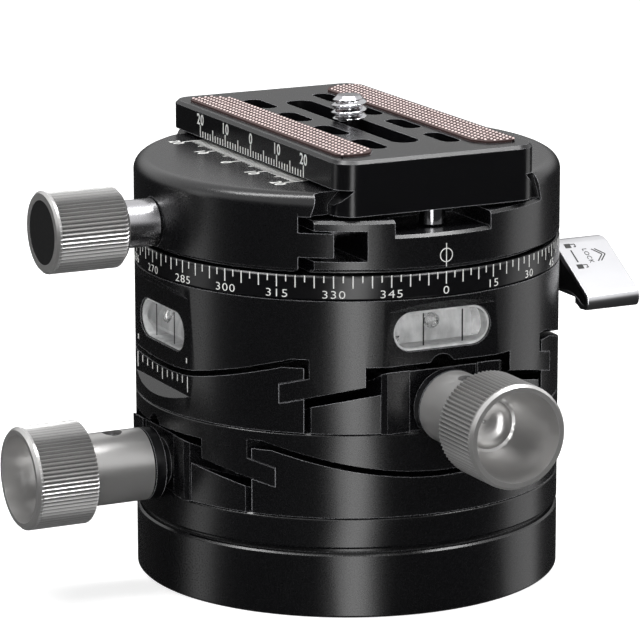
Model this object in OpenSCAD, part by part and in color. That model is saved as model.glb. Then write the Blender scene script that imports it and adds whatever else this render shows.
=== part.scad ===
// Geared tripod head: two worm-driven tilting stages under a turning clamp with a sliding plate.
// Millimetres. Origin at the centre of the underside, +Z up, the front (index mark) towards -Y.

/* [Body] */
// Outside diameter of every disc in the stack
body_d = 75; // [70:1:90]
// Height of the base disc
base_h = 11.3; // [9:0.1:16]
// Height of the dark groove above the base disc
groove_h = 0.85; // [0.5:0.05:1.5]
// Depth of that groove and of the pan gap below the clamp
groove_depth = 1.2; // [0.6:0.1:2]
// Height of the ring above the groove
ring_h = 5.55; // [4.5:0.05:8]
// Bright edge chamfer on the discs
edge = 0.35; // [0.1:0.05:0.6]
// Radius of the tapped hole in the underside (3/8 inch, 16 threads)
base_thread_r = 3.97; // [3.9:0.01:4.8]
// Depth of that hole
base_thread_depth = 9.5; // [6:0.5:10.5]

/* [Tilt stages] */
// Height of one stage, from its floor to the top of a low cradle
stage_h = 14.75; // [14:0.05:18]
// Height of the upper cradle above the floor of its stage
tall_cradle_h = 23.05; // [22:0.05:28]
// Height of the tilt axis above the floor of its stage
axis_h = 86.6; // [76:0.2:98]
// Tilt to each side, in degrees
tilt_range = 15; // [8:1:15]
// Height of the lowest point of the rails' curve above the floor of the stage
rail_low = 6.6; // [6.4:0.05:6.8]
// Height of the flat lands at both ends of a rail
rail_h = 11.35; // [11:0.05:11.6]
// Half-width between the lips of the two rails
lip_in = 22.95; // [22:0.05:24]
// Thickness of a lip
lip_t = 2.65; // [2:0.05:3]
// Reach of the undercut behind a lip
undercut = 3.3; // [2.5:0.05:4]
// Height of the undercut
undercut_h = 3.25; // [2.5:0.05:3.4]
// Open gap between the skirt of a cradle and the rail below it
skirt_gap = 1; // [0.5:0.05:1.2]
// Gap between the neck of a cradle and the lips
neck_gap = 0.7; // [0.3:0.05:1]
// Running clearance of the foot in the undercut
run_gap = 0.05; // [0.03:0.01:0.09]
// Half-width of the pocket under a cradle
pocket_half = 13.85; // [13:0.05:14.5]
// Height of the pocket ceiling above the floor of the stage
pocket_h = 11.55; // [11.4:0.05:12]
// Extra lift of the cradle over the flat lands
land_gap = 1.5; // [1.4:0.05:1.8]
// Radius of the round relief in the front edge of a cradle
relief_r = 2.5; // [1.5:0.1:3]
// Depth of that relief
relief_depth = 6; // [2:0.5:8]

/* [Worm gear] */
// Height of the worm above the floor of its stage
worm_h = 4.4; // [4.3:0.05:4.6]
// Radius of the worm at its pitch line
worm_pitch_r = 3; // [2.95:0.01:3.05]
// Angle between two teeth of the arc
tooth_angle = 0.75; // [0.7:0.05:0.8]
// Half-angle covered by teeth
teeth_span = 17.25; // [15:0.75:17.25]
// Half-width of the toothed arc
rack_half = 7.5; // [5:0.5:9]
// Tip of the arc teeth beyond the pitch line
tooth_tip = 0.25; // [0.2:0.05:0.3]
// Root of the arc teeth inside the pitch line
tooth_root = 0.35; // [0.3:0.05:0.45]
// Width of a tooth space
tooth_space = 0.6; // [0.55:0.01:0.65]
// Outside radius of the worm thread
worm_tip_r = 3.2; // [3.1:0.01:3.22]
// Root radius of the worm thread
worm_root_r = 2.6; // [2.5:0.01:2.65]
// Width of the worm thread at its tip, along the axis
worm_tip_w = 0.3; // [0.2:0.01:0.32]
// Turns of thread on the worm
worm_turns = 3; // [2:1:4]
// Radius of the worm shaft in its bushes
shaft_r = 2.5; // [2:0.05:2.55]
// Radius of the waists beside the thread, which the tilted cradle passes
waist_r = 1.3; // [1:0.05:1.5]
// Distance from the centre to the end of a waist
waist_end = 28; // [26:0.5:30]
// Radial clearance of the shaft in its bushes
shaft_gap = 0.04; // [0.02:0.01:0.08]
// Outside radius of the bushes
bush_r = 3.8; // [3.6:0.05:3.9]

/* [Worm housing] */
// Half-width of the raised block
block_half = 11.5; // [10:0.1:12.5]
// Distance of its flat front from the centre line
block_front = 36.8; // [36:0.1:37.2]
// Gap between the curved top of the block and the cradle that swings over it
block_gap = 0.4; // [0.3:0.05:0.6]
// Half-width of the low steps beside the block
step_half = 21.98; // [20:0.02:22.4]
// Gap between the steps and the foot that swings over them
step_gap = 1.6; // [1:0.05:2]
// Start of the steps, measured from the centre
step_start = 18; // [16:0.5:26]
// Half-width of the shallow recess in the front
recess_half = 6.5; // [6:0.1:8]
// Depth of that recess
recess_depth = 0.6; // [0.3:0.05:1]

/* [Tilt knobs] */
// Distance of the knob face from the centre of the head
knob_face = 63.05; // [60:0.05:70]
// Outside radius over the knurl
knob_r = 9; // [8:0.1:11]
// Radius of the mouth of the hollow in the face
knob_mouth_r = 7.7; // [6.5:0.1:8]
// Length of the knurled part
knob_len = 11.6; // [10:0.1:14]
// Radius of the smooth neck
knob_neck_r = 6.35; // [5.5:0.05:7]
// Distance of the end of the neck from the centre of the head
neck_end = 40.2; // [40:0.05:42]
// Ridges round the knurl
knob_ridges = 76; // [40:2:90]
// Depth of the knurl
knurl_depth = 0.4; // [0.2:0.05:0.6]
// Depth of the conical hollow
hollow_depth = 9.7; // [6:0.1:10]
// Radius of the cup at the bottom of the hollow
cup_r = 4.25; // [3:0.05:5]
// Radius of the grub screw in the neck
grub_r = 1.75; // [1.5:0.05:2]

/* [Levels] */
// Length of a level window
level_len = 18.4; // [16:0.1:19]
// Height of a level window
level_h = 6.8; // [6:0.1:7.5]
// Height of the front level above the underside
front_level_z = 49.7; // [49:0.1:50.2]
// Height of the left level above the underside
left_level_z = 46.6; // [46:0.1:47.5]
// Distance of the flat in front of the front level from the centre
front_flat = 36.15; // [35.8:0.05:36.6]
// Distance of the flat round the left level from the centre
left_flat = 35.85; // [35.5:0.05:36.4]
// Depth of a level behind its flat
level_depth = 6.2; // [5:0.1:6.4]

/* [Pan bearing] */
// Height of the scale ring
pan_ring_h = 4.4; // [4:0.1:6]
// Open gap between the scale ring and the clamp
pan_gap = 0.7; // [0.5:0.05:1]
// Radius of the spindle flange
flange_r = 28; // [26:0.1:28.5]
// Height of the spindle flange
flange_h = 8.1; // [7:0.1:8.3]
// Radius of the spindle neck
spindle_r = 24; // [20:0.1:26]

/* [Clamp] */
// Height of the clamp body
clamp_h = 13.2; // [12.5:0.1:16]
// Radius of its rounded top edge
clamp_fillet = 2.4; // [1:0.1:3]
// Depth of the channel for the plate
channel_depth = 4.6; // [4.4:0.1:5]
// Gap between the plate's dovetail and the channel, sideways
dovetail_gap = 0.1; // [0.05:0.05:0.2]
// Side of the jaw slot that belongs to the body
body_edge = 21.5; // [21:0.05:22.5]
// Open gap beside the jaw
jaw_gap = 2.2; // [1.5:0.1:3]
// Travel of the jaw when it opens
jaw_travel = 3.2; // [2:0.1:3.5]
// Radius of the jaw's guide pins
jaw_pin_r = 2; // [1.5:0.1:2.2]
// Bottom of the jaw tongue above the clamp body's lower edge
tongue_z = 2.35; // [2:0.05:3]
// Height of the jaw tongue
tongue_h = 4.15; // [3.5:0.05:4.5]
// Reach of the tongue past the edge of the body
tongue_reach = 2.8; // [2:0.1:4]
// Half-width of the recess for the stop screw
stop_half = 9.1; // [7:0.1:11]
// Height of the clamp screw above the clamp body's lower edge
clamp_screw_z = 4.3; // [4:0.05:4.5]
// Radius of the bright shaft of the clamp screw
clamp_shaft_r = 4.15; // [3.5:0.05:4.5]
// Radius of the threaded part of the clamp screw
clamp_thread_r = 3; // [2.5:0.1:3.2]
// Distance of the clamp knob's face from the centre of the head
clamp_knob_face = 58; // [54:0.1:64]
// Radius of the clamp knob
clamp_knob_r = 7.2; // [6:0.1:9]
// Length of the clamp knob
clamp_knob_len = 13.8; // [10:0.1:16]
// Ridges round the clamp knob
clamp_knob_ridges = 60; // [36:2:72]
// Radius of the cap in its face
cap_r = 5.55; // [4:0.05:6]

/* [Plate] */
// Width of the plate
plate_w = 38; // [36.4:0.1:38.4]
// Length of the plate
plate_len = 70; // [66:0.5:80]
// Travel of the plate to each side before a stop screw meets its recess
plate_travel = 5; // [3:0.5:6]
// Thickness of the plate
plate_t = 9.5; // [9:0.1:12]
// Height of the upper flange of the plate
flange_t = 5; // [4:0.1:6]
// Height of the plate's underside above the channel floor
plate_lift = 0.7; // [0.5:0.05:1]
// Height of the upright foot of the dovetail
foot_h = 1.8; // [1.2:0.1:2.2]
// Corner radius of the plate
plate_corner = 4; // [2:0.5:6]
// Width of the camera-screw slot
slot_w = 5.2; // [5:0.1:6.5]
// Length of that slot
slot_len = 45.5; // [36:0.5:48]
// Width of the short slots
short_w = 3.6; // [3:0.1:4]
// Distance of the rows of short slots from the middle
row_x = 7; // [6.6:0.1:7.4]
// Outer edge of the grip strips
strip_out = 17.2; // [16.5:0.05:17.5]
// Inner edge of the grip strips
strip_in = 9.5; // [9.2:0.05:10]
// Length of the grip strips
strip_len = 61.5; // [54:0.5:62]
// Thickness of the grip strips
strip_t = 1.2; // [0.8:0.1:2]
// Height of the strips above the plate
strip_rise = 0.35; // [0.2:0.05:0.6]
// Radius of the camera screw thread (1/4 inch, 20 threads)
camera_r = 3.175; // [3.1:0.005:4.7]
// Height of the camera screw above the plate
camera_h = 4.55; // [4:0.05:6]

/* [Pan lock lever] */
// Height of the lever's pivot above the underside
lever_z = 50.2; // [49:0.1:51]
// Distance of the pivot in front of the centre
lever_y = 3; // [0:0.1:5]
// Radius of the lever round its pivot
lever_hub_r = 4.6; // [4:0.1:5]
// Distance of the lever's inner face from the centre
lever_in = 39.5; // [38.5:0.1:41]
// Width of the lever
lever_w = 10.7; // [8:0.1:13]
// Wall of the bright cover
cover_t = 1.3; // [1:0.1:1.8]
// Depth of the open underside of the cover below the pivot
cover_open = 4; // [3:0.1:5]
// Radius of the lock screw
lock_r = 2.5; // [2:0.1:3]

/* [Hidden] */
body_r = body_d / 2;
eps = 0.01;
over = 1;
round_fn = 96;
ring_z = base_h + groove_h;
lower_z = ring_z + ring_h;
upper_z = lower_z + stage_h;
pan_z = upper_z + tall_cradle_h;
clamp_z = pan_z + pan_ring_h + pan_gap;
clamp_top = clamp_z + clamp_h;
floor_z = clamp_top - channel_depth;
plate_z = floor_z + plate_lift;
plate_top = plate_z + plate_t;
neck_half_w = plate_w / 2 - (plate_t - flange_t - foot_h);
channel_half = neck_half_w + (plate_top - flange_t - clamp_top) + dovetail_gap;
channel_foot = plate_w / 2 + dovetail_gap;
spindle_top = clamp_z - 0.4;
flange_z = pan_z - 0.3 - flange_h;

rail_r = axis_h - rail_low;
pitch_r = axis_h - worm_h - worm_pitch_r;
cradle_r = rail_r - skirt_gap;
lip_r = rail_r + lip_t;
under_r = lip_r + undercut_h;
under_half = lip_in + undercut;
neck_half = lip_in - neck_gap;
foot_half = under_half - run_gap;
foot_top_r = lip_r + 2 * run_gap;
foot_r = under_r - run_gap;
land_lift = rail_h + land_gap;
block_r = norm([body_r, axis_h - pocket_h]) + block_gap;
step_r = foot_r + step_gap;
rack_end = pitch_r * sin(teeth_span + tooth_angle * 0.7);
lead = 2 * pitch_r * tooth_angle * PI / 180;
lead_angle = atan(lead / (2 * PI * (worm_tip_r - tooth_tip)));
worm_len = worm_turns * lead;

clear = 0.3;
m3_r = 1.5;
m3_head_r = 2.75;
m3_head_h = 3;
m3_key = 1.4;
m4_r = 2;
m4_head_r = 3.5;
m4_head_h = 4;
m4_key = 1.8;
fit = 0.1;
thread_in = 5.4;
base_screw_t = 13;
base_screw_u = 29.6;
base_screw_top = lower_z + thread_in;
base_screw_seat = m4_head_h + 0.8;
housing_screw_t = 26;
housing_screw_u = 8;
rail_screw_t = 17;
rail_screw_u = 29.5;
rack_screw_t = 11;
stage_screw_len = 11;
block_screw_t = 18;
block_screw_in = 3.2;
ring_screw_seat = 3.2;
ring_screw_xy = 23.7;
spindle_screw_x = 9;
spindle_screw_y = 14.5;
spindle_screw_len = 11.5;
spindle_screw_seat = 4.3;
jaw_pin_y = 21;
jaw_pin_in = 4;
jaw_pin_len = body_edge + jaw_travel + 1.8 - jaw_pin_in;
jaw_lip_in = 15;
worm_flank = 2.4;
bush_start = 32.2;
bush_len = 3.6;
shaft_front = knob_face - knob_len - 1.5 - run_gap;
shaft_back = 34.5;
body_slot_z = 1.7;
body_slot_h = 5.2;
body_slot_in = 7.95;
stop_recess = 2.6;
edge_bevel = 0.5;
mouth_low = 22.2;
mouth_top = 20.6;
screw_head_r = 4.3;
screw_recess = 9.2;
plate_x = 0.8;
plate_y = 0.8;
plate_edge = 0.55;
slot_shift = -0.8;
stop_head_r = 2.4;
stop_head_h = 2.9;
stop_y = plate_len / 2 - 3.75;
stop_wall = stop_y - stop_head_r - plate_travel - 0.6;
lock_boss_r = 3.9;
lock_tip = 2.4;

// Shared shapes

module disc(z0, z1, chamfer_low, chamfer_top) {
  rotate_extrude($fn = round_fn) polygon([
    [0, z0], [body_r - chamfer_low, z0], [body_r, z0 + chamfer_low],
    [body_r, z1 - chamfer_top], [body_r - chamfer_top, z1], [0, z1]
  ]);
}

// Cylinder round the tilt axis of a stage, as wide as the given half-width on both sides
module swing(r, half) {
  translate([0, 0, axis_h]) rotate([90, 0, 0]) cylinder(r = r, h = 2 * half, center = true, $fn = round_fn);
}

// Everything outside radius r of the tilt axis, up to a given height
module below_arc(r, half, top) {
  difference() {
    translate([-body_r - over, -half, -over]) cube([2 * (body_r + over), 2 * half, top + over]);
    swing(r, half + over);
  }
}

module socket_screw(r, head_r, head_h, length, drive) {
  difference() {
    union() {
      translate([0, 0, -head_h]) cylinder(r = head_r, h = head_h, $fn = 48);
      cylinder(r = r, h = length, $fn = 36);
    }
    translate([0, 0, -head_h - over]) cylinder(r = drive, h = head_h * 0.55 + over, $fn = 6);
  }
}

module m3_screw(length) {
  socket_screw(m3_r, m3_head_r, m3_head_h, length, m3_key);
}

module m3_hole(length, below) {
  translate([0, 0, -below]) cylinder(r = m3_head_r + fit, h = below, $fn = 48);
  cylinder(r = m3_r + fit, h = length + 0.4, $fn = 36);
}

module four(x, y) {
  for (sx = [-1, 1], sy = [-1, 1]) translate([sx * x, sy * y, 0]) children();
}

// Places a stage: its travel runs along X here, its knob points to -X
module lower_stage() {
  translate([0, 0, lower_z]) children();
}

module upper_stage() {
  translate([0, 0, upper_z]) rotate([0, 0, 90]) children();
}

// Parts that both stages have

module rails() {
  difference() {
    cylinder(r = body_r, h = rail_h, $fn = round_fn);
    swing(rail_r, body_r + over);
    translate([-body_r - over, -lip_in, -over]) cube([2 * (body_r + over), 2 * lip_in, rail_h + 2 * over]);
    difference() {
      swing(under_r, under_half);
      swing(lip_r, under_half + over);
    }
  }
}

module half_space(side) {
  translate([-body_r - over, side > 0 ? 0 : -body_r - over, -over])
    cube([2 * (body_r + over), body_r + over, stage_h + 2 * over]);
}

module cradle_cuts() {
  // Skirt beyond the foot, lifted a little over the flat lands
  for (side = [-1, 1]) translate([0, side * (foot_half + body_r / 2), 0])
    below_arc(cradle_r, body_r / 2, land_lift);
  // Gap over each lip
  for (side = [-1, 1]) translate([0, side * (neck_half + foot_half) / 2, 0]) intersection() {
    below_arc(cradle_r, (foot_half - neck_half) / 2 + eps, land_lift);
    swing(foot_top_r, body_r);
  }
  // Underside of the foot
  below_arc(foot_r, foot_half + over, stage_h);
  // Pocket with a flat ceiling for the toothed arc
  translate([-body_r - over, -pocket_half, -over])
    cube([2 * (body_r + over), 2 * pocket_half, pocket_h + over]);
  // Round relief in the front edge
  translate([-body_r - over, 0, pocket_h - 1.2]) rotate([0, 90, 0])
    cylinder(r = relief_r, h = relief_depth + over, $fn = 48);
  // Sloped reliefs that let the tilted cradle pass the waists of the worm shaft
  for (end = [-1, 1]) translate([0, 0, axis_h]) rotate([0, end * (90 - tilt_range), 0])
    translate([end * (axis_h - worm_h), 0, 0]) cylinder(r = waist_r + clear, h = body_r, $fn = 48);
}

module rack() {
  rack_r = pitch_r + tooth_tip;
  difference() {
    intersection() {
      translate([0, 0, axis_h]) rotate([90, 0, 0])
        cylinder(r = rack_r, h = 2 * rack_half, center = true, $fn = round_fn);
      translate([-rack_end, -rack_half, 0]) cube([2 * rack_end, 2 * rack_half, pocket_h]);
    }
    for (a = [-teeth_span : tooth_angle : teeth_span]) translate([0, 0, axis_h]) rotate([0, a, 0])
      translate([0, 0, -pitch_r + tooth_root]) rotate([0, 0, lead_angle])
        translate([-tooth_space / 2, -rack_half - over, -3]) cube([tooth_space, 2 * (rack_half + over), 3]);
    for (side = [-1, 1]) translate([side * rack_screw_t, 0, pocket_h - 2.6])
      cylinder(r = m3_r + fit, h = 3, $fn = 36);
  }
}

module rack_screw_set(seat) {
  for (side = [-1, 1]) translate([side * rack_screw_t, 0, seat]) rotate([180, 0, 0])
    difference() {
      union() {
        cylinder(r1 = m3_head_r, r2 = m3_r, h = m3_head_r - m3_r, $fn = 48);
        cylinder(r = m3_r, h = seat - pocket_h + 2.2, $fn = 36);
      }
      translate([0, 0, -eps]) cylinder(r = 1.15, h = 1, $fn = 6);
    }
}

module rack_screw_holes(seat) {
  for (side = [-1, 1]) translate([side * rack_screw_t, 0, seat]) rotate([180, 0, 0]) {
    translate([0, 0, -eps]) cylinder(r1 = m3_head_r + fit, r2 = m3_r + fit, h = m3_head_r - m3_r, $fn = 48);
    cylinder(r = m3_r + fit, h = seat, $fn = 36);
  }
}

module housing() {
  bush_in = block_front - recess_depth;
  difference() {
    union() {
      // Raised block whose top follows the swing of the cradle
      intersection() {
        union() {
          translate([-block_front, -block_half, 0]) cube([block_front, 2 * block_half, stage_h]);
          cylinder(r = body_r, h = stage_h, $fn = round_fn);
        }
        translate([-block_front, -block_half, 0]) cube([2 * block_front, 2 * block_half, stage_h]);
        below_arc(block_r, block_half + over, pocket_h - block_gap);
        // Small bevels on the two front corners
        linear_extrude(stage_h) polygon([
          [-block_front, -block_half + 0.8], [-block_front + 0.8, -block_half], [body_r, -block_half],
          [body_r, block_half], [-block_front + 0.8, block_half], [-block_front, block_half - 0.8]
        ]);
      }
      // Low steps beside it, at both ends
      for (end = [-1, 1], side = [-1, 1]) intersection() {
        cylinder(r = body_r, h = stage_h, $fn = round_fn);
        below_arc(step_r, step_half + over, stage_h);
        translate([end > 0 ? step_start : -body_r, side > 0 ? block_half - over : -step_half, 0])
          cube([body_r - step_start, step_half - block_half + over, stage_h]);
      }
    }
    translate([-block_front - over, -recess_half, -over])
      cube([recess_depth + over, 2 * recess_half, stage_h + over]);
    // Bore for both bushes and the worm, with a trough open to the toothed arc
    translate([0, 0, worm_h]) rotate([0, 90, 0]) {
      cylinder(r = bush_r + 0.02, h = 2 * (body_r + over), center = true, $fn = 72);
    }
    for (end = [-1, 1]) translate([end * housing_screw_t, end * housing_screw_u, -over])
      cylinder(r = m3_r + fit, h = 3.4 + over, $fn = 36);
  }
}

// Flanged nut that holds the front of the worm shaft
module worm_nut() {
  nut_in = block_front - recess_depth;
  translate([0, 0, worm_h]) rotate([0, -90, 0]) difference() {
    union() {
      translate([0, 0, nut_in - 4]) cylinder(r = bush_r, h = 4 + eps, $fn = 72);
      translate([0, 0, nut_in]) cylinder(r = worm_h - 0.1, h = body_r + 0.5 - nut_in, $fn = 72);
      translate([0, 0, body_r + 0.5]) cylinder(r = knob_neck_r, h = neck_end - 0.3 - body_r - 0.5, $fn = 72);
    }
    translate([0, 0, nut_in - 5]) cylinder(r = shaft_r + shaft_gap, h = 10, $fn = 72);
  }
}

module worm_bush() {
  translate([bush_start, 0, worm_h]) rotate([0, 90, 0]) difference() {
    cylinder(r = bush_r, h = bush_len, $fn = 72);
    translate([0, 0, -over]) cylinder(r = shaft_r + shaft_gap, h = bush_len + 2 * over, $fn = 72);
  }
}

// Section of the two-start worm: straight flanks between root and tip
function worm_point(i, n) = let (
  phase = (i % (n / 2)) / (n / 2),
  away = min(phase, 1 - phase) * lead / 2,
  r = max(worm_root_r, min(worm_tip_r, worm_tip_r - (away - worm_tip_w / 2) * worm_flank))
) [r * cos(360 * i / n), r * sin(360 * i / n)];

module worm_shaft() {
  translate([0, 0, worm_h]) rotate([0, 90, 0]) {
    linear_extrude(worm_len, center = true, twist = -360 * worm_turns, slices = 12 * worm_turns)
      polygon([for (i = [0 : 23]) worm_point(i, 24)]);
    translate([0, 0, -waist_end - over]) cylinder(r = waist_r, h = 2 * (waist_end + over), $fn = 48);
    translate([0, 0, waist_end]) cylinder(r = shaft_r, h = shaft_back - waist_end, $fn = 72);
    translate([0, 0, -shaft_front]) cylinder(r = shaft_r, h = shaft_front - waist_end, $fn = 72);
  }
}

module knurled(r, ridges, length) {
  linear_extrude(length) polygon([for (i = [0 : 2 * ridges - 1])
    let (rr = i % 2 == 0 ? r : r - knurl_depth, a = 180 * i / ridges) [rr * cos(a), rr * sin(a)]]);
}

// Knob with its face up, its face at height 0
module tilt_knob_shape() {
  neck_len = knob_face - neck_end;
  rim_r = knob_r - 0.06;
  difference() {
    union() {
      intersection() {
        translate([0, 0, -knob_len]) knurled(knob_r, knob_ridges, knob_len);
        rotate_extrude($fn = round_fn) polygon([
          [0, 0], [knob_r - 0.75, 0], [knob_r - 0.15, -0.45], [knob_r + 0.2, -0.9],
          [knob_r + 0.2, 0.5 - knob_len], [knob_r - 1.2, -knob_len], [0, -knob_len]
        ]);
      }
      // Smooth rim in front of the ridges
      rotate_extrude($fn = round_fn) polygon([
        [knob_mouth_r - 1, -1.2], [rim_r - 0.2, -1.2], [rim_r, -1], [rim_r, -0.5],
        [rim_r - 0.45, 0], [knob_mouth_r - 1, 0]
      ]);
      translate([0, 0, -neck_len]) cylinder(r = knob_neck_r, h = neck_len - knob_len + over, $fn = round_fn);
    }
    // Conical hollow with a round-bottomed cup
    rotate_extrude($fn = round_fn) polygon([
      [0, 0.2], [knob_mouth_r + 0.2, 0.2], [knob_mouth_r, 0],
      for (k = [0 : 6]) let (t = k / 6) [
        knob_mouth_r - (knob_mouth_r - cup_r - 0.5) * (0.25 * t + 0.75 * t * t),
        -hollow_depth * (0.35 * t + 0.65 * sqrt(t))
      ],
      [cup_r, -hollow_depth - 0.2],
      for (k = [1 : 5]) [cup_r * cos(18 * k), -hollow_depth - 0.2 - 2.2 * sin(18 * k)]
    ]);
    translate([0, 0, -neck_len - over])
      cylinder(r = shaft_r + 0.02, h = neck_len - knob_len + 0.5 - over, $fn = 72);
  }
}

module grub_place() {
  translate([-45.6, 0, worm_h]) children();
}

module tilt_knob() {
  difference() {
    translate([-knob_face, 0, worm_h]) rotate([0, -90, 0]) tilt_knob_shape();
    grub_place() cylinder(r = grub_r + 0.02, h = 10, $fn = 36);
  }
}

module knob_grub() {
  grub_place() translate([0, 0, shaft_r]) difference() {
    cylinder(r = grub_r, h = 3, $fn = 36);
    translate([0, 0, 1.5]) cylinder(r = 1.05, h = 3, $fn = 6);
  }
}

// Base

module base_disc() {
  color("#1b1b1d") difference() {
    union() {
      disc(0, base_h, edge, edge);
      cylinder(r = body_r - groove_depth, h = ring_z, $fn = round_fn);
    }
    translate([0, 0, -over]) cylinder(r = base_thread_r, h = base_thread_depth + over, $fn = 72);
    four(base_screw_t, base_screw_u) {
      translate([0, 0, -over]) cylinder(r = m4_head_r + fit, h = base_screw_seat + over, $fn = 48);
      cylinder(r = m4_r + fit, h = ring_z + over, $fn = 36);
    }
  }
}

module base_ring() {
  color("#1e1e20") difference() {
    disc(ring_z, lower_z, edge, edge);
    four(base_screw_t, base_screw_u) translate([0, 0, ring_z - over])
      cylinder(r = m4_r + fit, h = ring_h + 2 * over, $fn = 36);
    for (end = [-1, 1]) translate([end * housing_screw_t, end * housing_screw_u, ring_z])
      translate([0, 0, m3_head_h + 0.1]) m3_hole(ring_h, m3_head_h + over);
  }
}

module base_screws() {
  color("#8f9296") four(base_screw_t, base_screw_u) translate([0, 0, base_screw_seat])
    socket_screw(m4_r, m4_head_r, m4_head_h, base_screw_top - base_screw_seat, m4_key);
}

module lower_rails() {
  difference() {
    lower_stage() rails();
    four(base_screw_t, base_screw_u) translate([0, 0, lower_z - over])
      cylinder(r = m4_r + fit, h = base_screw_top - lower_z + over + 0.2, $fn = 36);
  }
}

module lower_rail_front() {
  color("#202023") intersection() {
    lower_rails();
    lower_stage() half_space(-1);
  }
}

module lower_rail_back() {
  color("#202023") intersection() {
    lower_rails();
    lower_stage() half_space(1);
  }
}

module lower_housing() {
  color("#26262a") lower_stage() housing();
}

module lower_housing_screws() {
  color("#8f9296") for (end = [-1, 1])
    translate([end * housing_screw_t, end * housing_screw_u, ring_z + m3_head_h + 0.1])
      m3_screw(ring_h - m3_head_h + 3);
}

module lower_worm_nut() {
  color("#151517") lower_stage() worm_nut();
}

module lower_worm_bush() {
  color("#a9793c") lower_stage() worm_bush();
}

module lower_worm_shaft() {
  color("#9a9ca0") lower_stage() worm_shaft();
}

module lower_tilt_knob() {
  color("#6c6c70") lower_stage() tilt_knob();
}

module lower_knob_grub() {
  color("#2c2c2e") lower_stage() knob_grub();
}

// Lower cradle, with what stands on it

module stage_screw_places() {
  four(rail_screw_u, rail_screw_t) translate([0, 0, upper_z + thread_in - stage_screw_len]) children();
  for (end = [-1, 1])
    translate([-end * housing_screw_u, end * block_screw_t, upper_z + block_screw_in - stage_screw_len])
      children();
}

module lower_cradle() {
  color("#1d1d20") difference() {
    disc(lower_z, upper_z, 0, edge);
    lower_stage() cradle_cuts();
    lower_stage() rack_screw_holes(stage_h);
    stage_screw_places() m3_hole(stage_screw_len, 12);
  }
}

module lower_rack() {
  color("#b07a3a") lower_stage() rack();
}

module lower_rack_screws() {
  color("#8f9296") lower_stage() rack_screw_set(stage_h);
}

module stage_screws() {
  color("#8f9296") stage_screw_places() m3_screw(stage_screw_len);
}

module upper_rails() {
  difference() {
    upper_stage() rails();
    left_flat_cut();
    stage_screw_places() cylinder(r = m3_r + fit, h = stage_screw_len + 0.2, $fn = 36);
  }
}

module upper_rail_left() {
  color("#202023") intersection() {
    upper_rails();
    upper_stage() half_space(1);
  }
}

module upper_rail_right() {
  color("#202023") intersection() {
    upper_rails();
    upper_stage() half_space(-1);
  }
}

module upper_housing() {
  color("#26262a") difference() {
    upper_stage() housing();
    stage_screw_places() cylinder(r = m3_r + fit, h = stage_screw_len + 0.2, $fn = 36);
  }
}

module upper_worm_nut() {
  color("#151517") upper_stage() worm_nut();
}

module upper_worm_bush() {
  color("#a9793c") upper_stage() worm_bush();
}

module upper_worm_shaft() {
  color("#9a9ca0") upper_stage() worm_shaft();
}

module upper_tilt_knob() {
  color("#6c6c70") upper_stage() tilt_knob();
}

module upper_knob_grub() {
  color("#2c2c2e") upper_stage() knob_grub();
}

// Upper cradle, with the levels, the scale ring and the lock

// Flat with sloped ends on the left side, over the rail and the cradle
module left_flat_cut() {
  low = upper_z + 3.65;
  high = pan_z - 2.2;
  rise = body_r - left_flat + 0.5;
  rotate([90, 0, 0]) linear_extrude(2 * body_r, center = true) polygon([
    [-left_flat, low], [-left_flat - rise, low - rise], [-left_flat - rise, high + rise], [-left_flat, high]
  ]);
}

module front_flat_cut() {
  high = pan_z - 2.1;
  rise = body_r - front_flat + 0.5;
  rotate([90, 0, 90]) linear_extrude(2 * body_r, center = true) polygon([
    [-front_flat, upper_z], [-front_flat - rise, upper_z],
    [-front_flat - rise, high + rise], [-front_flat, high]
  ]);
}

module stadium(length, height, depth) {
  translate([-depth, 0, 0]) rotate([90, 0, 90]) linear_extrude(2 * depth) union() {
    square([length - height, height], center = true);
    for (side = [-1, 1]) translate([side * (length - height) / 2, 0]) circle(d = height, $fn = 48);
  }
}

// Level seen along -X, its face at x = 0
module level_shape(gap) {
  intersection() {
    stadium(level_len + 2 * gap, level_h + 2 * gap, level_depth);
    translate([-level_depth, -level_len, -level_h]) cube([level_depth - 0.2, 2 * level_len, 2 * level_h]);
  }
}

module front_level_place() {
  translate([0, -front_flat, front_level_z]) rotate([0, 0, -90]) children();
}

module left_level_place() {
  translate([-left_flat, 0, left_level_z]) rotate([0, 0, 180]) children();
}

module lock_place() {
  translate([0, -lever_y, lever_z]) rotate([0, 90, 0]) children();
}

module upper_cradle() {
  color("#1d1d20") difference() {
    disc(upper_z, pan_z, 0, 0);
    upper_stage() cradle_cuts();
    upper_stage() rack_screw_holes(flange_z - 0.1 - upper_z);
    left_flat_cut();
    front_flat_cut();
    front_level_place() stadium(level_len + 0.1, level_h + 0.1, level_depth);
    left_level_place() stadium(level_len + 0.1, level_h + 0.1, level_depth);
    // Seat of the spindle flange
    translate([0, 0, flange_z - 0.1]) cylinder(r = flange_r + 0.1, h = stage_h, $fn = round_fn);
    ring_screw_places() translate([0, 0, -5]) cylinder(r = m3_r + fit, h = 6, $fn = 36);
    lock_place() cylinder(r = lock_r + 0.05, h = body_r + over, $fn = 48);
  }
}

module upper_rack() {
  color("#b07a3a") upper_stage() rack();
}

module upper_rack_screws() {
  color("#8f9296") upper_stage() rack_screw_set(flange_z - 0.1 - upper_z);
}

module front_level() {
  color("#dfe6e2") front_level_place() level_shape(0);
}

module left_level() {
  color("#dfe6e2") left_level_place() level_shape(0);
}

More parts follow.
